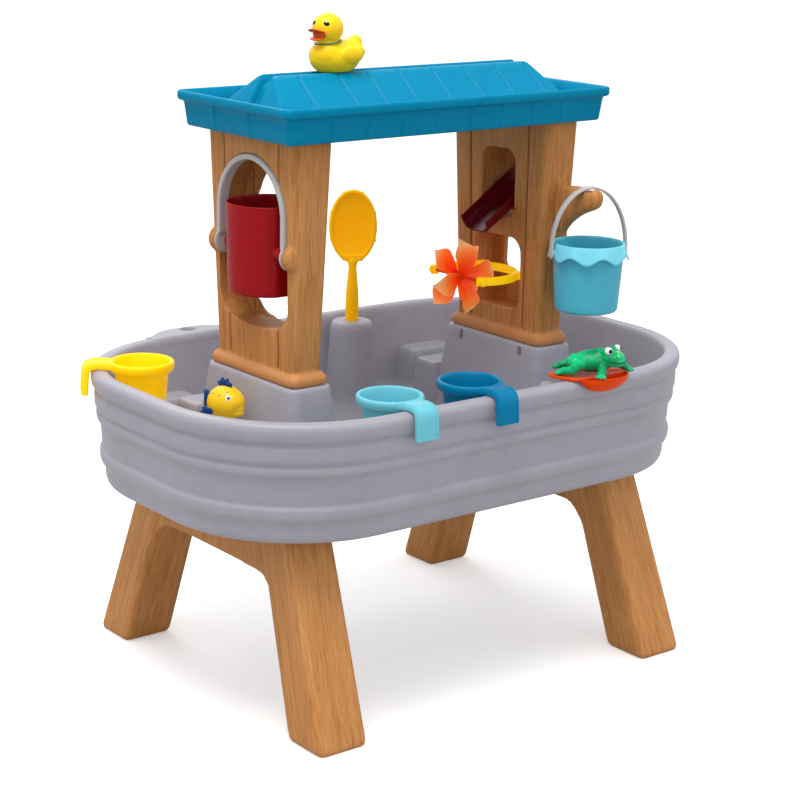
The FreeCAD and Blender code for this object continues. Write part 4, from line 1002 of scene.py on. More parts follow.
HUMP_SEAMS_X = [-192, -124, -73, -18, 43, 103, 162, 222]
HUMP_HALF_X, HUMP_HALF_Y, HUMP_BASE, HUMP_RISE = 273.5, 111.0, 806.0, 75.5


def seam(value, places, width):
    return max(math.exp(-((value - place) / width) ** 2) for place in places)


def build_roof_pan():
    rows = []
    for z, half_x, half_y, radius, depth in PAN_STATIONS:
        row = []
        for x, y, _ in rounded_rect(half_x, half_y, radius, z, 8, 190):
            if abs(y) > half_y - 0.5:
                y += math.copysign(depth * seam(x, PAN_SEAMS_X, 2.1), y)
            elif abs(x) > half_x - 0.5:
                x += math.copysign(depth * seam(y, PAN_SEAMS_Y, 2.1), x)
            row.append((x, y, z))
        rows.append(row)
    add_mesh("roof_tray_pan", rings(rows, caps=True), "blue", "table",
             "roof_tray", angle=50)


def soft_min(a, b, width):
    overlap = max(width - abs(a - b), 0.0) / width
    return min(a, b) - overlap * overlap * width * 0.25


def hump_height(x, y):
    size_x, size_y = abs(x), abs(y)
    slope = HUMP_BASE + (HUMP_HALF_Y - size_y) * (HUMP_RISE / (HUMP_HALF_Y - 17.5))
    end = HUMP_BASE + (HUMP_HALF_X - size_x) * (HUMP_RISE / (HUMP_HALF_X - 229.0))
    z = soft_min(soft_min(slope, end, 7.0), 880.4, 5.0)
    # seams on the long slopes
    fade = (clamp01((size_y - 17.0) / 6.0) * clamp01((end - slope + 4.0) / 8.0)
            * clamp01((109.0 - size_y) / 5.0))
    z -= 4.2 * seam(x, HUMP_SEAMS_X, 2.5) * fade
    # a groove along the ridge, deeper where it runs down both ends
    groove = smoothstep(clamp01((12.5 - size_y) / 3.6))
    deeper = smoothstep(clamp01((size_x - 212.0) / 26.0))
    z -= (9.5 + 11.0 * deeper) * groove * clamp01((273.0 - size_x) / 8.0)
    return max(z, 805.9)


def build_roof_hump():
    steps_x, steps_y = ((364, 150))
    verts = []
    for i in range(steps_x + 1):
        x = -HUMP_HALF_X + 2 * HUMP_HALF_X * i / steps_x
        for j in range(steps_y + 1):
            y = -HUMP_HALF_Y + 2 * HUMP_HALF_Y * j / steps_y
            verts.append((x, y, hump_height(x, y)))
    faces = []
    for i in range(steps_x):
        for j in range(steps_y):
            a = i * (steps_y + 1) + j
            faces.append((a, a + steps_y + 1, a + steps_y + 2, a + 1))
    add_mesh("roof_tray_hump", (verts, faces), "blue", "table", angle=80)


build_roof_pan()
build_roof_hump()

# ---------------------------------------------------------------------------
# tipping bucket and its arch
# ---------------------------------------------------------------------------
# (radius, z): up the outside and down the inside
BUCKET_PROFILE = [
    (50.0, 578.6), (55.6, 578.8), (57.4, 581.5), (58.4, 600.0), (60.3, 694.0), (60.9, 703.0),
    (60.9, 705.2), (60.2, 706.2), (58.9, 706.2), (58.3, 705.0), (58.0, 694.0), (55.8, 600.0),
    (55.0, 584.5), (52.5, 581.4), (46.0, 581.0),
]


def build_bucket():
    rows = []
    for radius, z in smoothed(BUCKET_PROFILE):
        # the front and back are pressed nearly flat
        flat = radius - 4.8
        row = []
        for a in circle_angles(112):
            x, y = radius * math.cos(a), radius * math.sin(a)
            if abs(y) > flat:
                y = math.copysign(flat + (abs(y) - flat) * 0.10, y)
            row.append((-TOWER_X + x, y, z))
        rows.append(row)
    add_mesh("tipping_bucket_shell", rings(rows, caps=True), "red", "tipping_bucket",
             "tipping_bucket", angle=38)
    profile = smoothed([(0, 0), (10.5, 0), (9.5, 4.4), (8.2, 7.7), (8.0, 24.2), (0, 24.2)], 1)
    hubs = [pin_y(profile, side, BUCKET_AXIS_X, 52.0, BUCKET_AXIS_Z, 32) for side in SIDES]
    add_mesh("tipping_bucket_hubs", join(*hubs), "red", "tipping_bucket")


def build_bucket_arch():
    x, half_y, height, foot, spring = -251.5, 79.2, 79.9, 652.0, 690.0
    leg_z = [foot + (spring - foot) * k / 9 for k in range(9)]
    path = [(x, -half_y, z) for z in leg_z]
    ups = [(0, -1, 0)] * 9
    for k in range(49):
        a = math.pi - math.pi * k / 48
        path.append((x, half_y * math.cos(a), spring + height * math.sin(a)))
        ups.append((0, math.cos(a), math.sin(a)))
    path += [(x, half_y, spring - (spring - foot) * (k + 1) / 9) for k in range(9)]
    ups += [(0, 1, 0)] * 9
    profile = smoothed([(0, -3.8), (16.5, -3.8), (19.3, -2.4), (19.6, -1.0), (19.3, 0.4),
                        (17.5, 1.5), (0, 1.6)], 1)
    discs = [pin_y(profile, side, BUCKET_AXIS_X, 81.9, BUCKET_AXIS_Z, 56) for side in SIDES]
    shape = join(sweep(path, rect_section(8.6, 4.2, 2.2), ups), *discs)
    handle = remeshed("tipping_bucket_arch", shape, "pale", voxel=1.1, relax=4)
    finish(handle, "pale", "tipping_bucket", "tipping_bucket_handle")


build_bucket()
build_bucket_arch()


# ---------------------------------------------------------------------------
# chute
# ---------------------------------------------------------------------------
def trough(half, depth):
    """(y, z) points of a U, open upwards."""
    out = []
    for i in range(25):
        c, s = math.cos(math.pi * i / 24), math.sin(math.pi * i / 24)
        out.append((-half * math.copysign(abs(c) ** 0.55, c), -depth * abs(s) ** 0.7))
    return out


def build_chute():
    mouth_x, mouth_z, slope = 146.5, 641.8, math.radians(33.4)
    outer = trough(31.0, 20.0)
    inner = trough(28.2, 17.4)[::-1]
    lip = [(30.6, 1.6), (29.6, 2.3), (28.6, 1.7)]
    section = outer + lip + inner + [(-y, z) for y, z in reversed(lip)]
    rows = []
    # stations: (distance up from the mouth, width factor)
    for distance, width in ((0.0, 0.955), (0.8, 0.985), (2.2, 1.0), (30, 1.0), (60, 1.0),
                            (90, 1.0), (120, 1.0), (147, 1.0), (149, 0.99)):
        row = []
        for y, z in section:
            along = distance
            if distance <= 20:
                # slants the mouth: its upper edges start further up than its floor
                along += (1.0 + min(0.0, z) / 20.0) * 3.0 * (1 - distance / 20.0)
            row.append((mouth_x + (along * math.cos(slope) - z * math.sin(slope)), y * width,
                        mouth_z + (along * math.sin(slope) + z * math.cos(slope))))
        rows.append(row)
    verts, faces = rings(rows)
    # quad strips close both ends between the outer and inner skin
    for start in (0, (len(rows) - 1) * len(section)):
        for i in range(len(outer) - 1):
            a = start + i
            b = start + len(outer) + len(lip) + len(inner) - 1 - i
            faces.append((a, a + 1, b - 1, b))
    add_mesh("water_chute_trough", (verts, faces), "dark red", "table",
             "water_chute", angle=45)
    profile = smoothed([(0, 0), (4.6, 0), (4.6, 9.0), (3.6, 10.3), (0, 10.3)], 1)
    studs = [pin_y(profile, side, 228.0, 28.4, 688.5, 24) for side in SIDES]
    add_mesh("water_chute_studs", join(*studs), "dark red", "table")


build_chute()


# ---------------------------------------------------------------------------
# spinner
# ---------------------------------------------------------------------------
def build_spinner_fork():
    """A flat open ring round the flower, with a boss at each side and two end blocks."""
    ring_x, ring_radius = 153.0, 64.6
    section = rect_section(2.9, 6.4, 2.0)
    rows = []
    for k in range(81):
        a = math.radians(-126.5 + 253.0 * k / 80)
        rows.append([(ring_x + (ring_radius + q[0]) * math.cos(a),
                      (ring_radius + q[0]) * math.sin(a), FLOWER_Z + q[1]) for q in section])
    parts = [rings(rows, caps=True)]
    boss = smoothed([(0, 0), (6.2, 0), (7.2, 1.5), (7.4, 8.0), (7.0, 11.4), (5.6, 12.6),
                     (0, 12.8)], 1)
    for side in SIDES:
        parts.append(pin_y(boss, side, FLOWER_X, 50.6, FLOWER_Z, 32))
        parts.append(loft([(203.5, side * 51.3, 12.0, 3.2, 1.2, z) for z in (555.2, 566.8)],
                          3, 2))
    add_mesh("spinner_fork", join(*parts), "yellow", "table", "spinner_ring")


def petal(front):
    """One cupped petal, as (radius, sideways, axial); front petals reach further to -Y."""
    steps_long, steps_wide = 26, 14
    rows = []
    for a in range(steps_long + 1):
        s = a / steps_long
        radius = 5.0 + (57.5 if front else 55.0) * s - (5.0 if front else 3.0) * s ** 3
        width = 19.4 * (math.sin(math.pi * min(1.0, 0.12 + 0.62 * s)) ** 0.8)
        width *= 0.60 + 0.40 * min(1.0, s * 1.7)
        if s > 0.55:
            width *= max(0.05, 1.0 - ((s - 0.55) / 0.46) ** 1.9)
        if front:
            axial = -(4.0 + 20.0 * math.sin(math.pi * 0.62 * s) - 13.0 * s ** 4)
        else:
            axial = 5.0 + 9.0 * s - 8.0 * s ** 3
        top, bottom = [], []
        for b in range(steps_wide + 1):
            u = -1.0 + 2.0 * b / steps_wide
            # edges cup, a rib runs out from the hub, and the tip ripples
            cup = (-6.0 * (u * u) * math.sin(math.pi * min(1.0, 0.2 + 0.75 * s))
                   + 1.6 * math.exp(-(u / 0.14) ** 2) * (1 - s)
                   + 1.3 * math.sin(7 * s + 2.5 * u) * s)
            reach = radius + 2.0 * (1 - u * u) * s
            top.append((reach, u * width, axial + cup - 0.8))
            bottom.append((reach, u * width, axial + cup + 0.8))
        rows.append(top + bottom[::-1])
    return rings(rows, caps=True)


def build_flower():
    petals = []
    for i in range(8):
        front = i % 2 == 0
        turn = math.radians(45.0 * i + 3.0 + (4.0 if front else -5.0))
        twist = math.radians(10.0 if front else -12.0)

        def place(p):
            radius, sideways, axial = p
            across = sideways * math.cos(twist) - axial * math.sin(twist) * 0.3
            return (FLOWER_X + radius * math.cos(turn) - across * math.sin(turn),
                    axial + sideways * math.sin(twist),
                    FLOWER_Z + radius * math.sin(turn) + across * math.cos(turn))

        petals.append(reshape(petal(front), place))
    add_mesh("spinner_petals", join(*petals), "petal", "spinner",
             "spinner_flower", angle=60)
    hub = smoothed([(2.6, -9.0), (5.2, -9.0), (7.0, -7.5), (8.0, -3.0), (8.4, 8.0),
                    (9.0, 15.0), (7.4, 17.0), (2.6, 17.0)], 1)
    add_mesh("spinner_hub", pin_y(hub, 1, FLOWER_X, 0.0, FLOWER_Z, 36), "orange",
             "spinner")


build_spinner_fork()
build_flower()

# ---------------------------------------------------------------------------
# pail
# ---------------------------------------------------------------------------
PAIL_EAR_Z = 613.0
# (radius, z)
PAIL_PROFILE = [
    (36.0, 526.4), (42.4, 526.0), (45.6, 527.2), (46.8, 530.6), (47.6, 539.0), (52.0, 606.0),
    (52.4, 624.0), (51.8, 626.6), (50.6, 626.6), (50.0, 624.0), (49.4, 606.0), (44.6, 535.0),
    (43.0, 530.5), (38.0, 528.8),
]
# (radius, z, share of the scallop wave)
COLLAR_PROFILE = [
    (51.0, 627.0, 0.0), (51.6, 628.3, 0.0), (52.8, 628.5, 0.0), (53.8, 627.4, 0.0),
    (54.6, 622.0, 0.25), (55.4, 617.0, 0.6), (56.3, 611.0, 0.95), (56.9, 608.6, 1.0),
    (56.5, 607.8, 1.0), (55.6, 608.4, 1.0), (54.6, 613.0, 0.8), (53.2, 619.5, 0.3),
    (52.6, 624.0, 0.0),
]


def build_pail():
    body = lathe(smoothed(PAIL_PROFILE), 120, caps=True)
    add_mesh("pail_body", placed(body, *PAIL), "sky", "pail", "pail",
             angle=50)
    rows = []
    for radius, z, wave in COLLAR_PROFILE:
        row = []
        for a in circle_angles(200):
            # the collar flares everywhere but at the two ears
            near_ear = math.exp(-(math.asin(min(1.0, abs(math.sin(a)))) / 0.44) ** 2)
            flared = radius + 5.0 * wave * (1.0 - near_ear)
            row.append((flared * math.cos(a), flared * math.sin(a),
                        z + wave * 4.8 * math.cos(8 * a + math.radians(22))))
        rows.append(row)
    add_mesh("pail_scalloped_collar", placed(rings(rows, closed=True), *PAIL), "light sky",
             "pail", angle=60)
    profile = smoothed([(3.1, 0), (7.4, 0), (7.6, 1.0), (7.0, 4.0), (3.1, 4.0)], 1)
    ears = [pin_x(profile, side, 52.8, PAIL_EAR_Z, 28) for side in SIDES]
    add_mesh("pail_ears", placed(join(*ears), *PAIL), "light sky", "pail")


def build_bail():
    """A strap in a tall half ellipse, widest at the top, with a disc and pin at each ear."""
    half, height, spring, steps = 59.1, 91.1, 618.0, 72
    foot_z = [609.0, 611.0, 613.0, 615.0, 617.0]
    path = [(-half, 0, z) for z in foot_z]
    ups = [(-1, 0, 0)] * 5
    scales = [(1.0, 1.0)] * 5
    for k in range(steps + 1):
        t = k / steps
        a = math.pi - math.pi * t
        path.append((half * math.cos(a), 0, spring + height * math.sin(a)))
        length = math.hypot(math.cos(a) / half, math.sin(a) / height)
        ups.append((math.cos(a) / half / length, 0, math.sin(a) / height / length))
        scales.append((1.0 + 0.32 * math.sin(math.pi * t) ** 2, 1.0))
    path += [(half, 0, z) for z in reversed(foot_z)]
    ups += [(1, 0, 0)] * 5
    scales += [(1.0, 1.0)] * 5
    parts = [sweep(path, rect_section(5.2, 1.8, 1.2), ups, scales=scales)]
    disc = smoothed([(0, -1.9), (7.0, -1.9), (7.8, -0.8), (7.6, 1.2), (0, 1.9)], 1)
    for side in SIDES:
        parts.append(pin_x(disc, side, half, PAIL_EAR_Z, 32))
        parts.append(pin_x([(0, -5.0), (3.0, -5.0), (3.0, 0), (0, 0)], side, 58.9,
                           PAIL_EAR_Z, 20))
    add_mesh("pail_bail_strap", placed(join(*parts), *PAIL), "pale", "pail_bail",
             "pail_bail")


build_pail()
build_bail()

# ---------------------------------------------------------------------------
# cups that hook over the rim
# ---------------------------------------------------------------------------
CUP_TOP = 467.0
# (radius, z below the cup's top)
CUP_PROFILE = [
    (20.0, -76.6), (29.0, -77.0), (32.0, -76.0), (33.4, -72.5), (38.2, -22.0), (38.8, -17.4),
    (40.2, -15.4), (43.6, -14.6), (45.6, -13.4), (46.6, -10.6), (47.4, -7.4), (47.4, -3.4),
    (46.2, -0.9), (43.8, 0.1), (41.4, -0.6), (40.0, -3.0), (38.6, -9.0), (36.6, -20.0),
    (31.6, -70.5), (30.2, -73.4), (27.0, -74.6), (20.0, -74.8),
]
# (distance from the cup's axis, z): out from the ring, over the tub's rim and down outside
HOOK_LINE = [(42.0, -6.6), (50.0, -5.2), (60.0, -4.2), (69.8, -4.3), (76.8, -6.9),
             (80.0, -14.0), (81.1, -26.0), (82.1, -46.0)]


def build_cup(name, x, y, degrees, paint):
    """degrees is the direction in which the hook points."""
    line = smoothed(HOOK_LINE, 3)
    last = len(line) - 1
    path, ups, half_widths = [], [], []
    for i, (along, z) in enumerate(line):
        a, b = line[max(i - 1, 0)], line[min(i + 1, last)]
        step_x, step_z = b[0] - a[0], b[1] - a[1]
        length = math.hypot(step_x, step_z)
        path.append((along, 0, z))
        ups.append((-step_z / length, 0, step_x / length))
        t = i / last
        half_widths.append(17.4 + 3.5 * (1 - t) ** 4 + 0.8 * t)
    hook = sweep(path, rect_section(10.0, 4.7, 2.6, 5), ups,
                 scales=[(half / 10.0, 1.0) for half in half_widths])
    ribs = [tube([(p[0] + up[0] * 4.2, side * (half - 2.6), p[2] + up[2] * 4.2)
                  for p, up, half in zip(path, ups, half_widths)], 1.7, 10) for side in SIDES]
    body = lathe(smoothed(CUP_PROFILE), 112, caps=True)
    shape = shift(rotate(join(body, hook, *ribs), degrees), x, y, CUP_TOP)
    add_mesh(name + "_moulding", shape, paint, name, name, angle=45)


# the yellow cup lies on a circle about the left end's corner centre (RIM half sizes - corner)
YELLOW_TURN, YELLOW_REACH = 153.0, 149.5
build_cup("light_blue_cup", -172.0, -214.5, -90.0, "aqua")
build_cup("teal_cup", -30.0, -214.5, -90.0, "teal")
build_cup("yellow_cup",
          RIM_CORNER - RIM_HALF_X + YELLOW_REACH * math.cos(math.radians(YELLOW_TURN)),
          RIM_HALF_Y - RIM_CORNER + YELLOW_REACH * math.sin(math.radians(YELLOW_TURN)),
          YELLOW_TURN, "yellow")

# ---------------------------------------------------------------------------
# net scoop
# ---------------------------------------------------------------------------
HOOP_X, HOOP_HALF_Z, HOOP_CENTRE = 35.3, 55.8, 605.0    # half width, half height, centre z
DISH = 6.5                                              # depth of the strainer's dish


def build_net_frame():
    ups = [(math.cos(a), 0, math.sin(a)) for a in circle_angles(96)]
    path = [(HOOP_X * up[0], 0, HOOP_CENTRE + HOOP_HALF_Z * up[2]) for up in ups]
    parts = [sweep(path, rect_section(3.8, 3.0, 1.8), ups, closed=True)]
    for k in range(8):
        a = math.radians(22.5 + 45 * k)
        parts.append(ball((HOOP_X + 2.2) * math.cos(a), 0,
                          HOOP_CENTRE + (HOOP_HALF_Z + 2.2) * math.sin(a),
                          2.6, 3.6, 2.6, 14, 10))
    # stem, and the gusset between stem and hoop
    parts.append(lathe(smoothed([
        (0, 400.5), (8.2, 400.5), (9.6, 403.0), (9.8, 450.0), (10.6, 466.0), (10.8, 480.0),
        (9.8, 503.0), (7.8, 522.0), (6.2, 540.0), (7.0, 552.0), (0, 556.0)]), 48))
    parts.append(loft([(0, 0, 6.0, 3.4, 2.6, 536.0), (0, 0, 8.0, 3.4, 2.6, 548.0),
                       (0, 0, 15.0, 3.2, 2.4, 556.0), (0, 0, 19.0, 2.6, 2.2, 559.0)], 4, 2))
    ob = remeshed("net_frame_moulding", placed(join(*parts), *NET), "net", voxel=1.1, relax=3)
    finish(ob, "net", "net", "net_frame")


def strainer_bar(points):
    path = []
    for x, z in points:
        spread = (x / HOOP_X) ** 2 + (z / HOOP_HALF_Z) ** 2
        path.append((x, DISH * (1 - spread) - 0.9, HOOP_CENTRE + z))
    return tube(path, 0.55, 6)


def build_strainer():
    """Fine bars both ways over a thin dished oval skin."""
    levels, around, pitch = 24, 96, 3.5
    skin_x, skin_z = HOOP_X - 2.2, HOOP_HALF_Z - 2.2
    verts, faces = [], []
    for side in (1, -1):
        start = len(verts)
        for i in range(levels + 1):
            t = i / levels
            for a in circle_angles(around):
                verts.append((skin_x * t * math.cos(a), DISH * (1 - t * t) + side * 0.6,
                              HOOP_CENTRE + skin_z * t * math.sin(a)))
        for i in range(levels):
            for k in range(around):
                a, b = start + i * around + k, start + i * around + (k + 1) % around
                faces.append((a, b, b + around, a + around))
    bars = []
    for k in range(-8, 9):
        x = k * pitch
        end = (HOOP_HALF_Z - 2.6) * math.sqrt(1 - (x / skin_x) ** 2)
        bars.append(strainer_bar([(x, -end + 2 * end * q / 24) for q in range(25)]))
    for k in range(-14, 15):
        z = k * pitch
        end = (HOOP_X - 2.6) * math.sqrt(1 - (z / skin_z) ** 2)
        bars.append(strainer_bar([(-end + 2 * end * q / 16, z) for q in range(17)]))
    add_mesh("net_strainer", placed(join((verts, faces), *bars), *NET), "net", "net",
             "net_mesh", angle=70)


build_net_frame()
build_strainer()

# ---------------------------------------------------------------------------
# launcher spoon
# ---------------------------------------------------------------------------
BOWL_X = 157.0
# (x, y)
PLATE_OUTLINE = [
    (94, -241), (91, -250), (99, -274), (107, -287.5), (118, -291), (140, -292.5), (157, -293),
    (176, -292.5), (196, -291.5), (206, -288.5), (208, -283), (196, -268), (170, -252),
    (140, -240), (115, -234), (100, -236),
]
# (scale about the plate's middle, z): from the underside, round the edge, over the top
PLATE_STATIONS = [(0.90, 458.8), (0.975, 458.9), (0.995, 459.6), (1.0, 460.8), (0.995, 462.1),
                  (0.975, 462.8), (0.93, 462.7), (0.86, 461.6), (0.6, 461.2), (0.2, 461.0)]


def spoon_plate():
    outline = smoothed(PLATE_OUTLINE, 2, closed=True)
    middle = np.mean(np.array(outline), axis=0)
    return rings([[(middle[0] + (x - middle[0]) * scale, middle[1] + (y - middle[1]) * scale, z)
                   for x, y in outline] for scale, z in PLATE_STATIONS], caps=True)


def spoon_bowl():
    """Quarter of an ellipsoid hanging in front of the plate, with an outer and inner skin."""
    levels, around = 18, 40
    row = around + 1
    verts, faces = [], []
    for radius_x, radius_y, radius_z in ((44.5, 21.5, 22.5), (42.3, 19.2, 20.2)):
        for i in range(levels + 1):
            b = math.pi / 2 * i / levels
            for k in range(row):
                a = math.pi + math.pi * k / around
                verts.append((BOWL_X + radius_x * math.cos(a) * math.cos(b),
                              -290.2 + radius_y * math.sin(a) * math.cos(b),
                              461.6 - radius_z * math.sin(b)))
    inner = (levels + 1) * row
    for start in (0, inner):
        for i in range(levels):
            for k in range(around):
                a = start + i * row + k
                faces.append((a, a + 1, a + row + 1, a + row))
    for k in range(around):
        faces.append((k, k + 1, inner + k + 1, inner + k))
    for i in range(levels):
        for k in (0, around):
            a = i * row + k
            faces.append((a, a + row, inner + a + row, inner + a))
    return verts, faces


def build_spoon():
    wall = prism_y(arc(BOWL_X, 461.4, 43.5, 21.5, math.pi, math.pi, 24), -290.4, -288.9)
    lug = arc(0.0, 452.5, 5.0, 5.0, math.pi, math.pi, 16) + [(5.0, 459.5), (-5.0, 459.5)]
    lug = placed(prism_y(lug, -6.4, 6.4), *LAUNCHER)
    add_mesh("launcher_spoon", join(spoon_plate(), spoon_bowl(), wall, lug), "orange",
             "launcher", "launcher_lever")


build_spoon()

# ---------------------------------------------------------------------------
# frog, drawn facing +X and seated by the launcher
# ---------------------------------------------------------------------------
# points of each limb from the body to the foot
FROG_LIMBS = [
    [(8, -13, 17), (14, -24, 15), (13, -29.5, 6.0)],
    [(18, 12, 16), (36, 20, 13), (51, 17, 6.0)],
    [(-10, -12, 15), (-22, -23, 17), (-27, -21, 8), (-43, -16, 5.5)],
    [(-12, 12, 15), (-26, 22, 16), (-32, 22, 8), (-46, 20, 5.5)],
]


def in_frog(shape):
    return placed(shift(shape, 38.0, 10.0, 462.8), *LAUNCHER)


def frog_head(shape):
    return rotate(shape, -34.0, (16, 0, 24))


def frog_limb(joints):
    """A tapering limb with three toes; rear feet point back."""
    path = [Vector(a).lerp(Vector(b), k / 5.0) for a, b in zip(joints, joints[1:])
            for k in range(5)] + [joints[-1]]
    last = len(path) - 1
    parts = [tube(path, [8.6 - 3.0 * i / last for i in range(last + 1)], 12)]
    ankle, foot = joints[-2], Vector(joints[-1])
    if foot.x < -20:
        heading = math.pi
    else:
        heading = math.atan2(joints[-1][1] - ankle[1], joints[-1][0] - ankle[0])
    for spread in (-0.75, 0.0, 0.75):
        tip = (foot.x + 8.5 * math.cos(heading + spread),
               foot.y + 8.5 * math.sin(heading + spread), 2.6)
        middle = foot.lerp(Vector(tip), 0.5) + Vector((0, 0, -0.6))
        parts.append(tube([foot, middle, tip], [4.2, 3.2, 2.6], 10))
        parts.append(ball(tip[0], tip[1], 2.8, 3.0, 3.0, 2.4, 12, 8))
    return join(*parts)


def build_frog():
    body = balls([(2, 0, 18.0, 30, 20.5, 16.0, 32, 20), (12, 0, 23.0, 20, 17.5, 14.0),
                  (-22, 0, 15.5, 15, 15, 11)])
    head = balls([(31, 0, 25.0, 18.0, 18.5, 12.5, 32, 20), (38, 0, 21.5, 12.5, 15.0, 8.5),
                  (22, 0, 24, 15, 15, 13)]
                 + [(28.0, side * 9.8, 34.5, 8.2, 7.6, 7.6) for side in SIDES])
    shape = join(body, frog_head(head), *(frog_limb(joints) for joints in FROG_LIMBS))
    frog = remeshed("frog_body", in_frog(shape), "frog", voxel=1.25, relax=5)
    flatten_below(frog, 462.95)
    finish(frog, "frog", "frog", "frog")
    eyes, pupils = [], []
    for side in SIDES:
        centre = Vector((31.0, side * 11.4, 36.6))
        gaze = Vector((0.88, side * 0.42, 0.20)).normalized()
        eyes.append(ball(*centre, 6.0, 6.0, 6.0, 24, 16))
        pupils.append(orient(ball(0, 0, 0, 1.4, 3.0, 3.0, 18, 12), centre + gaze * 5.2, gaze))
    mouth = []
    for k in range(25):
        a = -1.15 + 2.3 * k / 24
        mouth.append((31.5 + 19.2 * math.cos(a), 18.2 * math.sin(a),
                      20.8 + 3.0 * abs(math.sin(a)) ** 2))
    for name, detail, paint in (("frog_eyes", join(*eyes), "white"),
                                ("frog_pupils", join(*pupils), "black"),
                                ("frog_mouth", tube(mouth, 0.9, 8), "mouth")):
        add_mesh(name, in_frog(frog_head(detail)), paint, "frog")


build_frog()

# ---------------------------------------------------------------------------
# fish: a round puffer drawn facing +X and turned towards the front
# ---------------------------------------------------------------------------
# (x, z) outlines
TOP_FIN = [(-11, 22), (-16, 30), (-10, 31), (-7, 38), (-1, 33), (4, 38), (7, 30), (12, 30),
           (10, 21), (0, 19)]
TAIL_FIN = [(-22, 3), (-29, 7), (-32, 16), (-37, 12), (-40, 15), (-39, 2), (-40, -12),
            (-36, -10), (-32, -15), (-29, -6), (-22, -4)]
SIDE_FIN = [(0, 3), (-8, 6), (-15, 8), (-14, 2), (-19, -1), (-14, -5), (-13, -10), (-6, -6),
            (0, -4)]
FISH_DOTS = [(0.1, 0.78, 0.6), (0.42, 0.45, 0.78), (-0.3, 0.7, 0.64), (-0.1, 0.35, 0.93),
             (-0.55, 0.6, 0.55)]            # directions from the fish's centre


def fin(outline, thickness):
    """Fan-shaped fin with a slightly uneven edge, thinning outwards."""
    points = smoothed(outline, 1, closed=True)
    middle = np.mean(np.array(points), axis=0)
    rows = []
    for scale, share in ((0.0, 1.0), (0.5, 1.0), (0.85, 0.7), (1.0, 0.15)):
        rows.append([(middle[0] + (x - middle[0]) * scale,
                      thickness * share * (1 + 0.25 * math.sin(i * 2.1)),
                      middle[1] + (z - middle[1]) * scale) for i, (x, z) in enumerate(points)])
    return rings(rows + [[(x, -y, z) for x, y, z in row] for row in rows[::-1]])


def build_fish():
    parts = [ball(0, 0, 0, 28.5, 24.0, 25.5, 40, 26), ball(12, 0, 2.5, 18, 18.5, 18, 24, 16)]
    for lip_z in (3.4, -2.2):
        path = [(26.2 - 6.0 * (k / 12.0 - 0.5) ** 2 * 4, -11.0 + 22.0 * k / 12.0, -8.0 + lip_z)
                for k in range(13)]
        parts.append(tube(path, [1.6 + 3.0 * math.sin(math.pi * k / 12.0) for k in range(13)],
                          12))
    fish = remeshed("fish_body", placed(join(*parts), *FISH), "fish", voxel=1.0, relax=3)
    finish(fish, "fish", "fish", "fish")

    fins = [fin(TOP_FIN, 2.2), fin(TAIL_FIN, 2.2)]
    fins += [shift(rotate(fin(SIDE_FIN, 1.7), -side * 38), -5.0, side * 23.0, -8.0)
             for side in SIDES]
    add_mesh("fish_fins", placed(join(*fins), *FISH), "navy", "fish",
             angle=70)

    eyes, pupils, dots = [], [], []
    for side in SIDES:
        gaze = Vector((0.60, side * 0.62, 0.50)).normalized()
        centre = Vector((gaze.x * 27.0, gaze.y * 23.2, gaze.z * 24.2))
        eyes.append(orient(ball(0, 0, 0, 1.8, 4.6, 4.6, 24, 14), centre, gaze))
        pupils.append(orient(ball(0, 0, 0, 1.4, 2.3, 2.3, 18, 10), centre + gaze * 1.2, gaze))
        for x, y, z in FISH_DOTS:
            out = Vector((x, side * y, z)).normalized()
            dots.append(orient(ball(0, 0, 0, 0.7, 1.3, 1.3, 12, 8),
                               (out.x * 28.2, out.y * 23.8, out.z * 25.2), out))
    add_mesh("fish_eyes", placed(join(*eyes), *FISH), "white", "fish")
    add_mesh("fish_pupils_and_dots", placed(join(*pupils, *dots), *FISH), "navy", "fish")


build_fish()

# ---------------------------------------------------------------------------
# duck on the roof's ridge, its bill towards the left end
# ---------------------------------------------------------------------------
DUCK_X = -116.0


def on_ridge(shape):
    return shift(shape, DUCK_X, 0.0, 0.0)


def duck_head(shape):
    """The head is turned a little on the neck."""
    return rotate(shape, 17.0, (-10, 0, 940))


def bill_half(z, lift, length, width):
    rows = []
    for i in range(17):
        t = i / 16
        half = width * (0.62 + 0.5 * math.sin(math.pi * min(1, t * 0.8 + 0.12)))
        half *= math.sqrt(max(0.02, 1 - t ** 5))
        centre_z = z + lift * (1.6 * t * t)
        thickness = 2.2 * (1 - 0.4 * t)
        rows.append([(-33.0 - length * t, half * math.cos(a), centre_z + thickness * math.sin(a))
                     for a in circle_angles(24)])
    return rings(rows, caps=True)


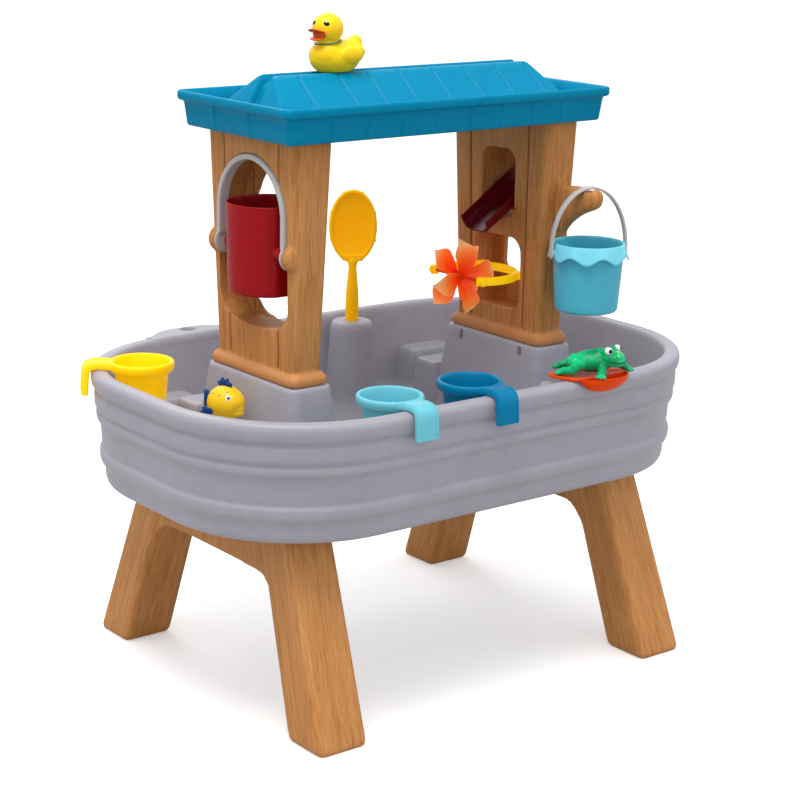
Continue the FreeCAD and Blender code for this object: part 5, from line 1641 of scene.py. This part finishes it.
def build_duck():
    body = balls([(1, 0, 899.0, 39, 28.5, 24.5, 40, 26), (-14, 0, 903, 24, 25, 21),
                  (20, 0, 907, 22, 21, 18), (30, 0, 909, 17.5, 17, 15),
                  (36, 0, 920, 10.5, 10, 10), (-11, 0, 922, 17, 16.5, 12)])
    head = balls([(-12, 0, 940.2, 22.6, 21.8, 22.0, 32, 20), (-19, -7.5, 935, 11.5, 9.5, 9.5),
                  (-19, 7.5, 935, 11.5, 9.5, 9.5)])
    wings = []
    for side in SIDES:
        wings += [(12, side * 25.0, 904, 20, 6.8, 12.5), (25, side * 22.5, 908, 12, 5.6, 9.0)]
    shape = on_ridge(join(body, duck_head(head), balls(wings)))
    duck = remeshed("duck_body", shape, "duck", voxel=1.3, relax=6)
    flatten_below(duck, 880.6)
    finish(duck, "duck", "duck", "duck")

    bill = join(bill_half(936.6, 3.0, 17.0, 12.4), bill_half(928.4, -1.6, 13.5, 10.6),
                ball(-33.0, 0, 932.8, 5.5, 11.4, 6.0))
    bill = on_ridge(duck_head(shift(bill, 2.0, 0.0, 0.0)))
    ob = remeshed("duck_bill", bill, "bill", voxel=0.8, relax=3)
    finish(ob, "bill", "duck")

    eyes, glints = [], []
    for side in SIDES:
        gaze = Vector((-0.78, side * 0.50, 0.38)).normalized()
        centre = Vector((-12.0 + gaze.x * 21.9, gaze.y * 21.2, 940.2 + gaze.z * 21.4))
        eyes.append(orient(ball(0, 0, 0, 1.6, 3.3, 4.3, 20, 12), centre, gaze))
        glints.append(orient(ball(0, 0, 0, 0.5, 1.1, 1.2, 12, 8),
                             centre + gaze * 1.45 + Vector((0, 0, 1.5)), gaze))
    add_mesh("duck_eyes", on_ridge(duck_head(join(*eyes))), "black", "duck")
    add_mesh("duck_eye_glints", on_ridge(duck_head(join(*glints))), "white", "duck")
    neck = [(DUCK_X - 11.0 + 18.6 * math.cos(a), 18.2 * math.sin(a), 921.6 + 2.6 * math.cos(a))
            for a in circle_angles(64)]
    add_mesh("duck_collar", tube(neck, 1.2, 10, closed=True), "collar", "duck")


build_duck()

# ---------------------------------------------------------------------------
# drain plug
# ---------------------------------------------------------------------------
PLUG_PROFILE = [
    (0, 316.5), (10.6, 316.5), (12.2, 319.0), (12.3, 325.2), (17.0, 325.3), (18.0, 326.4),
    (17.2, 328.2), (9.0, 328.8), (5.4, 330.6), (4.8, 335.4), (3.4, 337.3), (0, 337.5),
]
add_mesh("drain_plug_turned", lathe(smoothed(PLUG_PROFILE), 56), "pale", "drain_plug",
         "drain_plug")


# ---------------------------------------------------------------------------
# stage, lights and camera (metres)
# ---------------------------------------------------------------------------
def split_camera_rays(tree, output, seen, unseen):
    """The camera sees one shader; every other ray meets the other."""
    path = tree.nodes.new("ShaderNodeLightPath")
    mix = tree.nodes.new("ShaderNodeMixShader")
    tree.links.new(path.outputs["Is Camera Ray"], mix.inputs[0])
    tree.links.new(unseen.outputs[0], mix.inputs[1])
    tree.links.new(seen.outputs[0], mix.inputs[2])
    tree.links.new(mix.outputs[0], output.inputs[0])


def build_floor():
    half = 60
    mesh = bpy.data.meshes.new("stage_floor")
    floor = bpy.data.objects.new("stage_floor", mesh)
    mesh.from_pydata([(-half, -half, 0), (half, -half, 0), (half, half, 0), (-half, half, 0)],
                     [], [(0, 1, 2, 3)])
    g = Shader("stage_floor_m")
    g.surface({
        "Base Color": linear((246, 246, 247)),
        "Roughness": 0.9,
        "Specular IOR Level": 0.2,
        "Emission Color": (1, 1, 1, 1),
        "Emission Strength": 0.34,
    })
    # a duller floor for bounced light
    diffuse = g.node("ShaderNodeBsdfDiffuse")
    diffuse.inputs[0].default_value = (0.50, 0.50, 0.50, 1.0)
    split_camera_rays(g.tree, g.output, seen=g.bsdf, unseen=diffuse)
    mesh.materials.append(g.material)
    bpy.context.scene.collection.objects.link(floor)


def build_world():
    world = bpy.data.worlds.new("studio")
    bpy.context.scene.world = world
    world.use_nodes = True
    tree = world.node_tree
    tree.nodes.clear()
    output = tree.nodes.new("ShaderNodeOutputWorld")

    def white(strength):
        background = tree.nodes.new("ShaderNodeBackground")
        background.inputs[0].default_value = (1.0, 1.0, 1.0, 1.0)
        background.inputs[1].default_value = strength
        return background

    split_camera_rays(tree, output, unseen=white(0.84), seen=white(1.0))


def area_light(name, place, target, size, power, color=(1, 1, 1)):
    light = bpy.data.lights.new(name, "AREA")
    light.shape = "SQUARE"
    light.size = size
    light.energy = power
    light.color = color
    ob = bpy.data.objects.new(name, light)
    ob.location = place
    ob.rotation_mode = "QUATERNION"
    ob.rotation_quaternion = (Vector(target) - Vector(place)).to_track_quat("-Z", "Y")
    bpy.context.scene.collection.objects.link(ob)


def build_camera():
    camera = bpy.data.cameras.new("cam")
    ob = bpy.data.objects.new("cam", camera)
    bpy.context.scene.collection.objects.link(ob)
    bpy.context.scene.camera = ob
    azimuth, elevation, roll = (math.radians(a) for a in (-37.70, 15.16, 1.04))
    back = Vector((math.sin(azimuth) * math.cos(elevation),
                   -math.cos(azimuth) * math.cos(elevation), math.sin(elevation)))
    level = Vector((math.cos(azimuth), math.sin(azimuth), 0.0))
    upright = back.cross(level)
    right = level * math.cos(roll) + upright * math.sin(roll)
    up = -level * math.sin(roll) + upright * math.cos(roll)
    rows = [(right[i], up[i], back[i], 0) for i in range(3)]
    ob.matrix_world = Matrix((*rows, (0, 0, 0, 1)))
    ob.location = Vector(to_metres(-1798.0, -2296.1, 1175.3))
    camera.sensor_width = 36.0
    camera.lens = 90.3141
    camera.shift_x = 0.024875
    camera.shift_y = -0.0016625
    camera.clip_start = 0.1
    camera.clip_end = 200.0


build_floor()
build_world()
area_light("key", place=(-1.0, -0.5, 3.5), target=(0, 0, 0.45), size=1.5, power=70.0,
           color=(1.0, 0.985, 0.96))
area_light("fill", place=(2.6, -2.4, 1.9), target=(0, 0, 0.5), size=2.2, power=6.0,
           color=(0.96, 0.98, 1.0))
area_light("back", place=(0.6, 2.4, 3.0), target=(0, 0, 0.6), size=1.6, power=26.0)
build_camera()

view = bpy.context.scene.view_settings
view.view_transform = "Standard"
view.look = "None"
view.exposure = 0.0
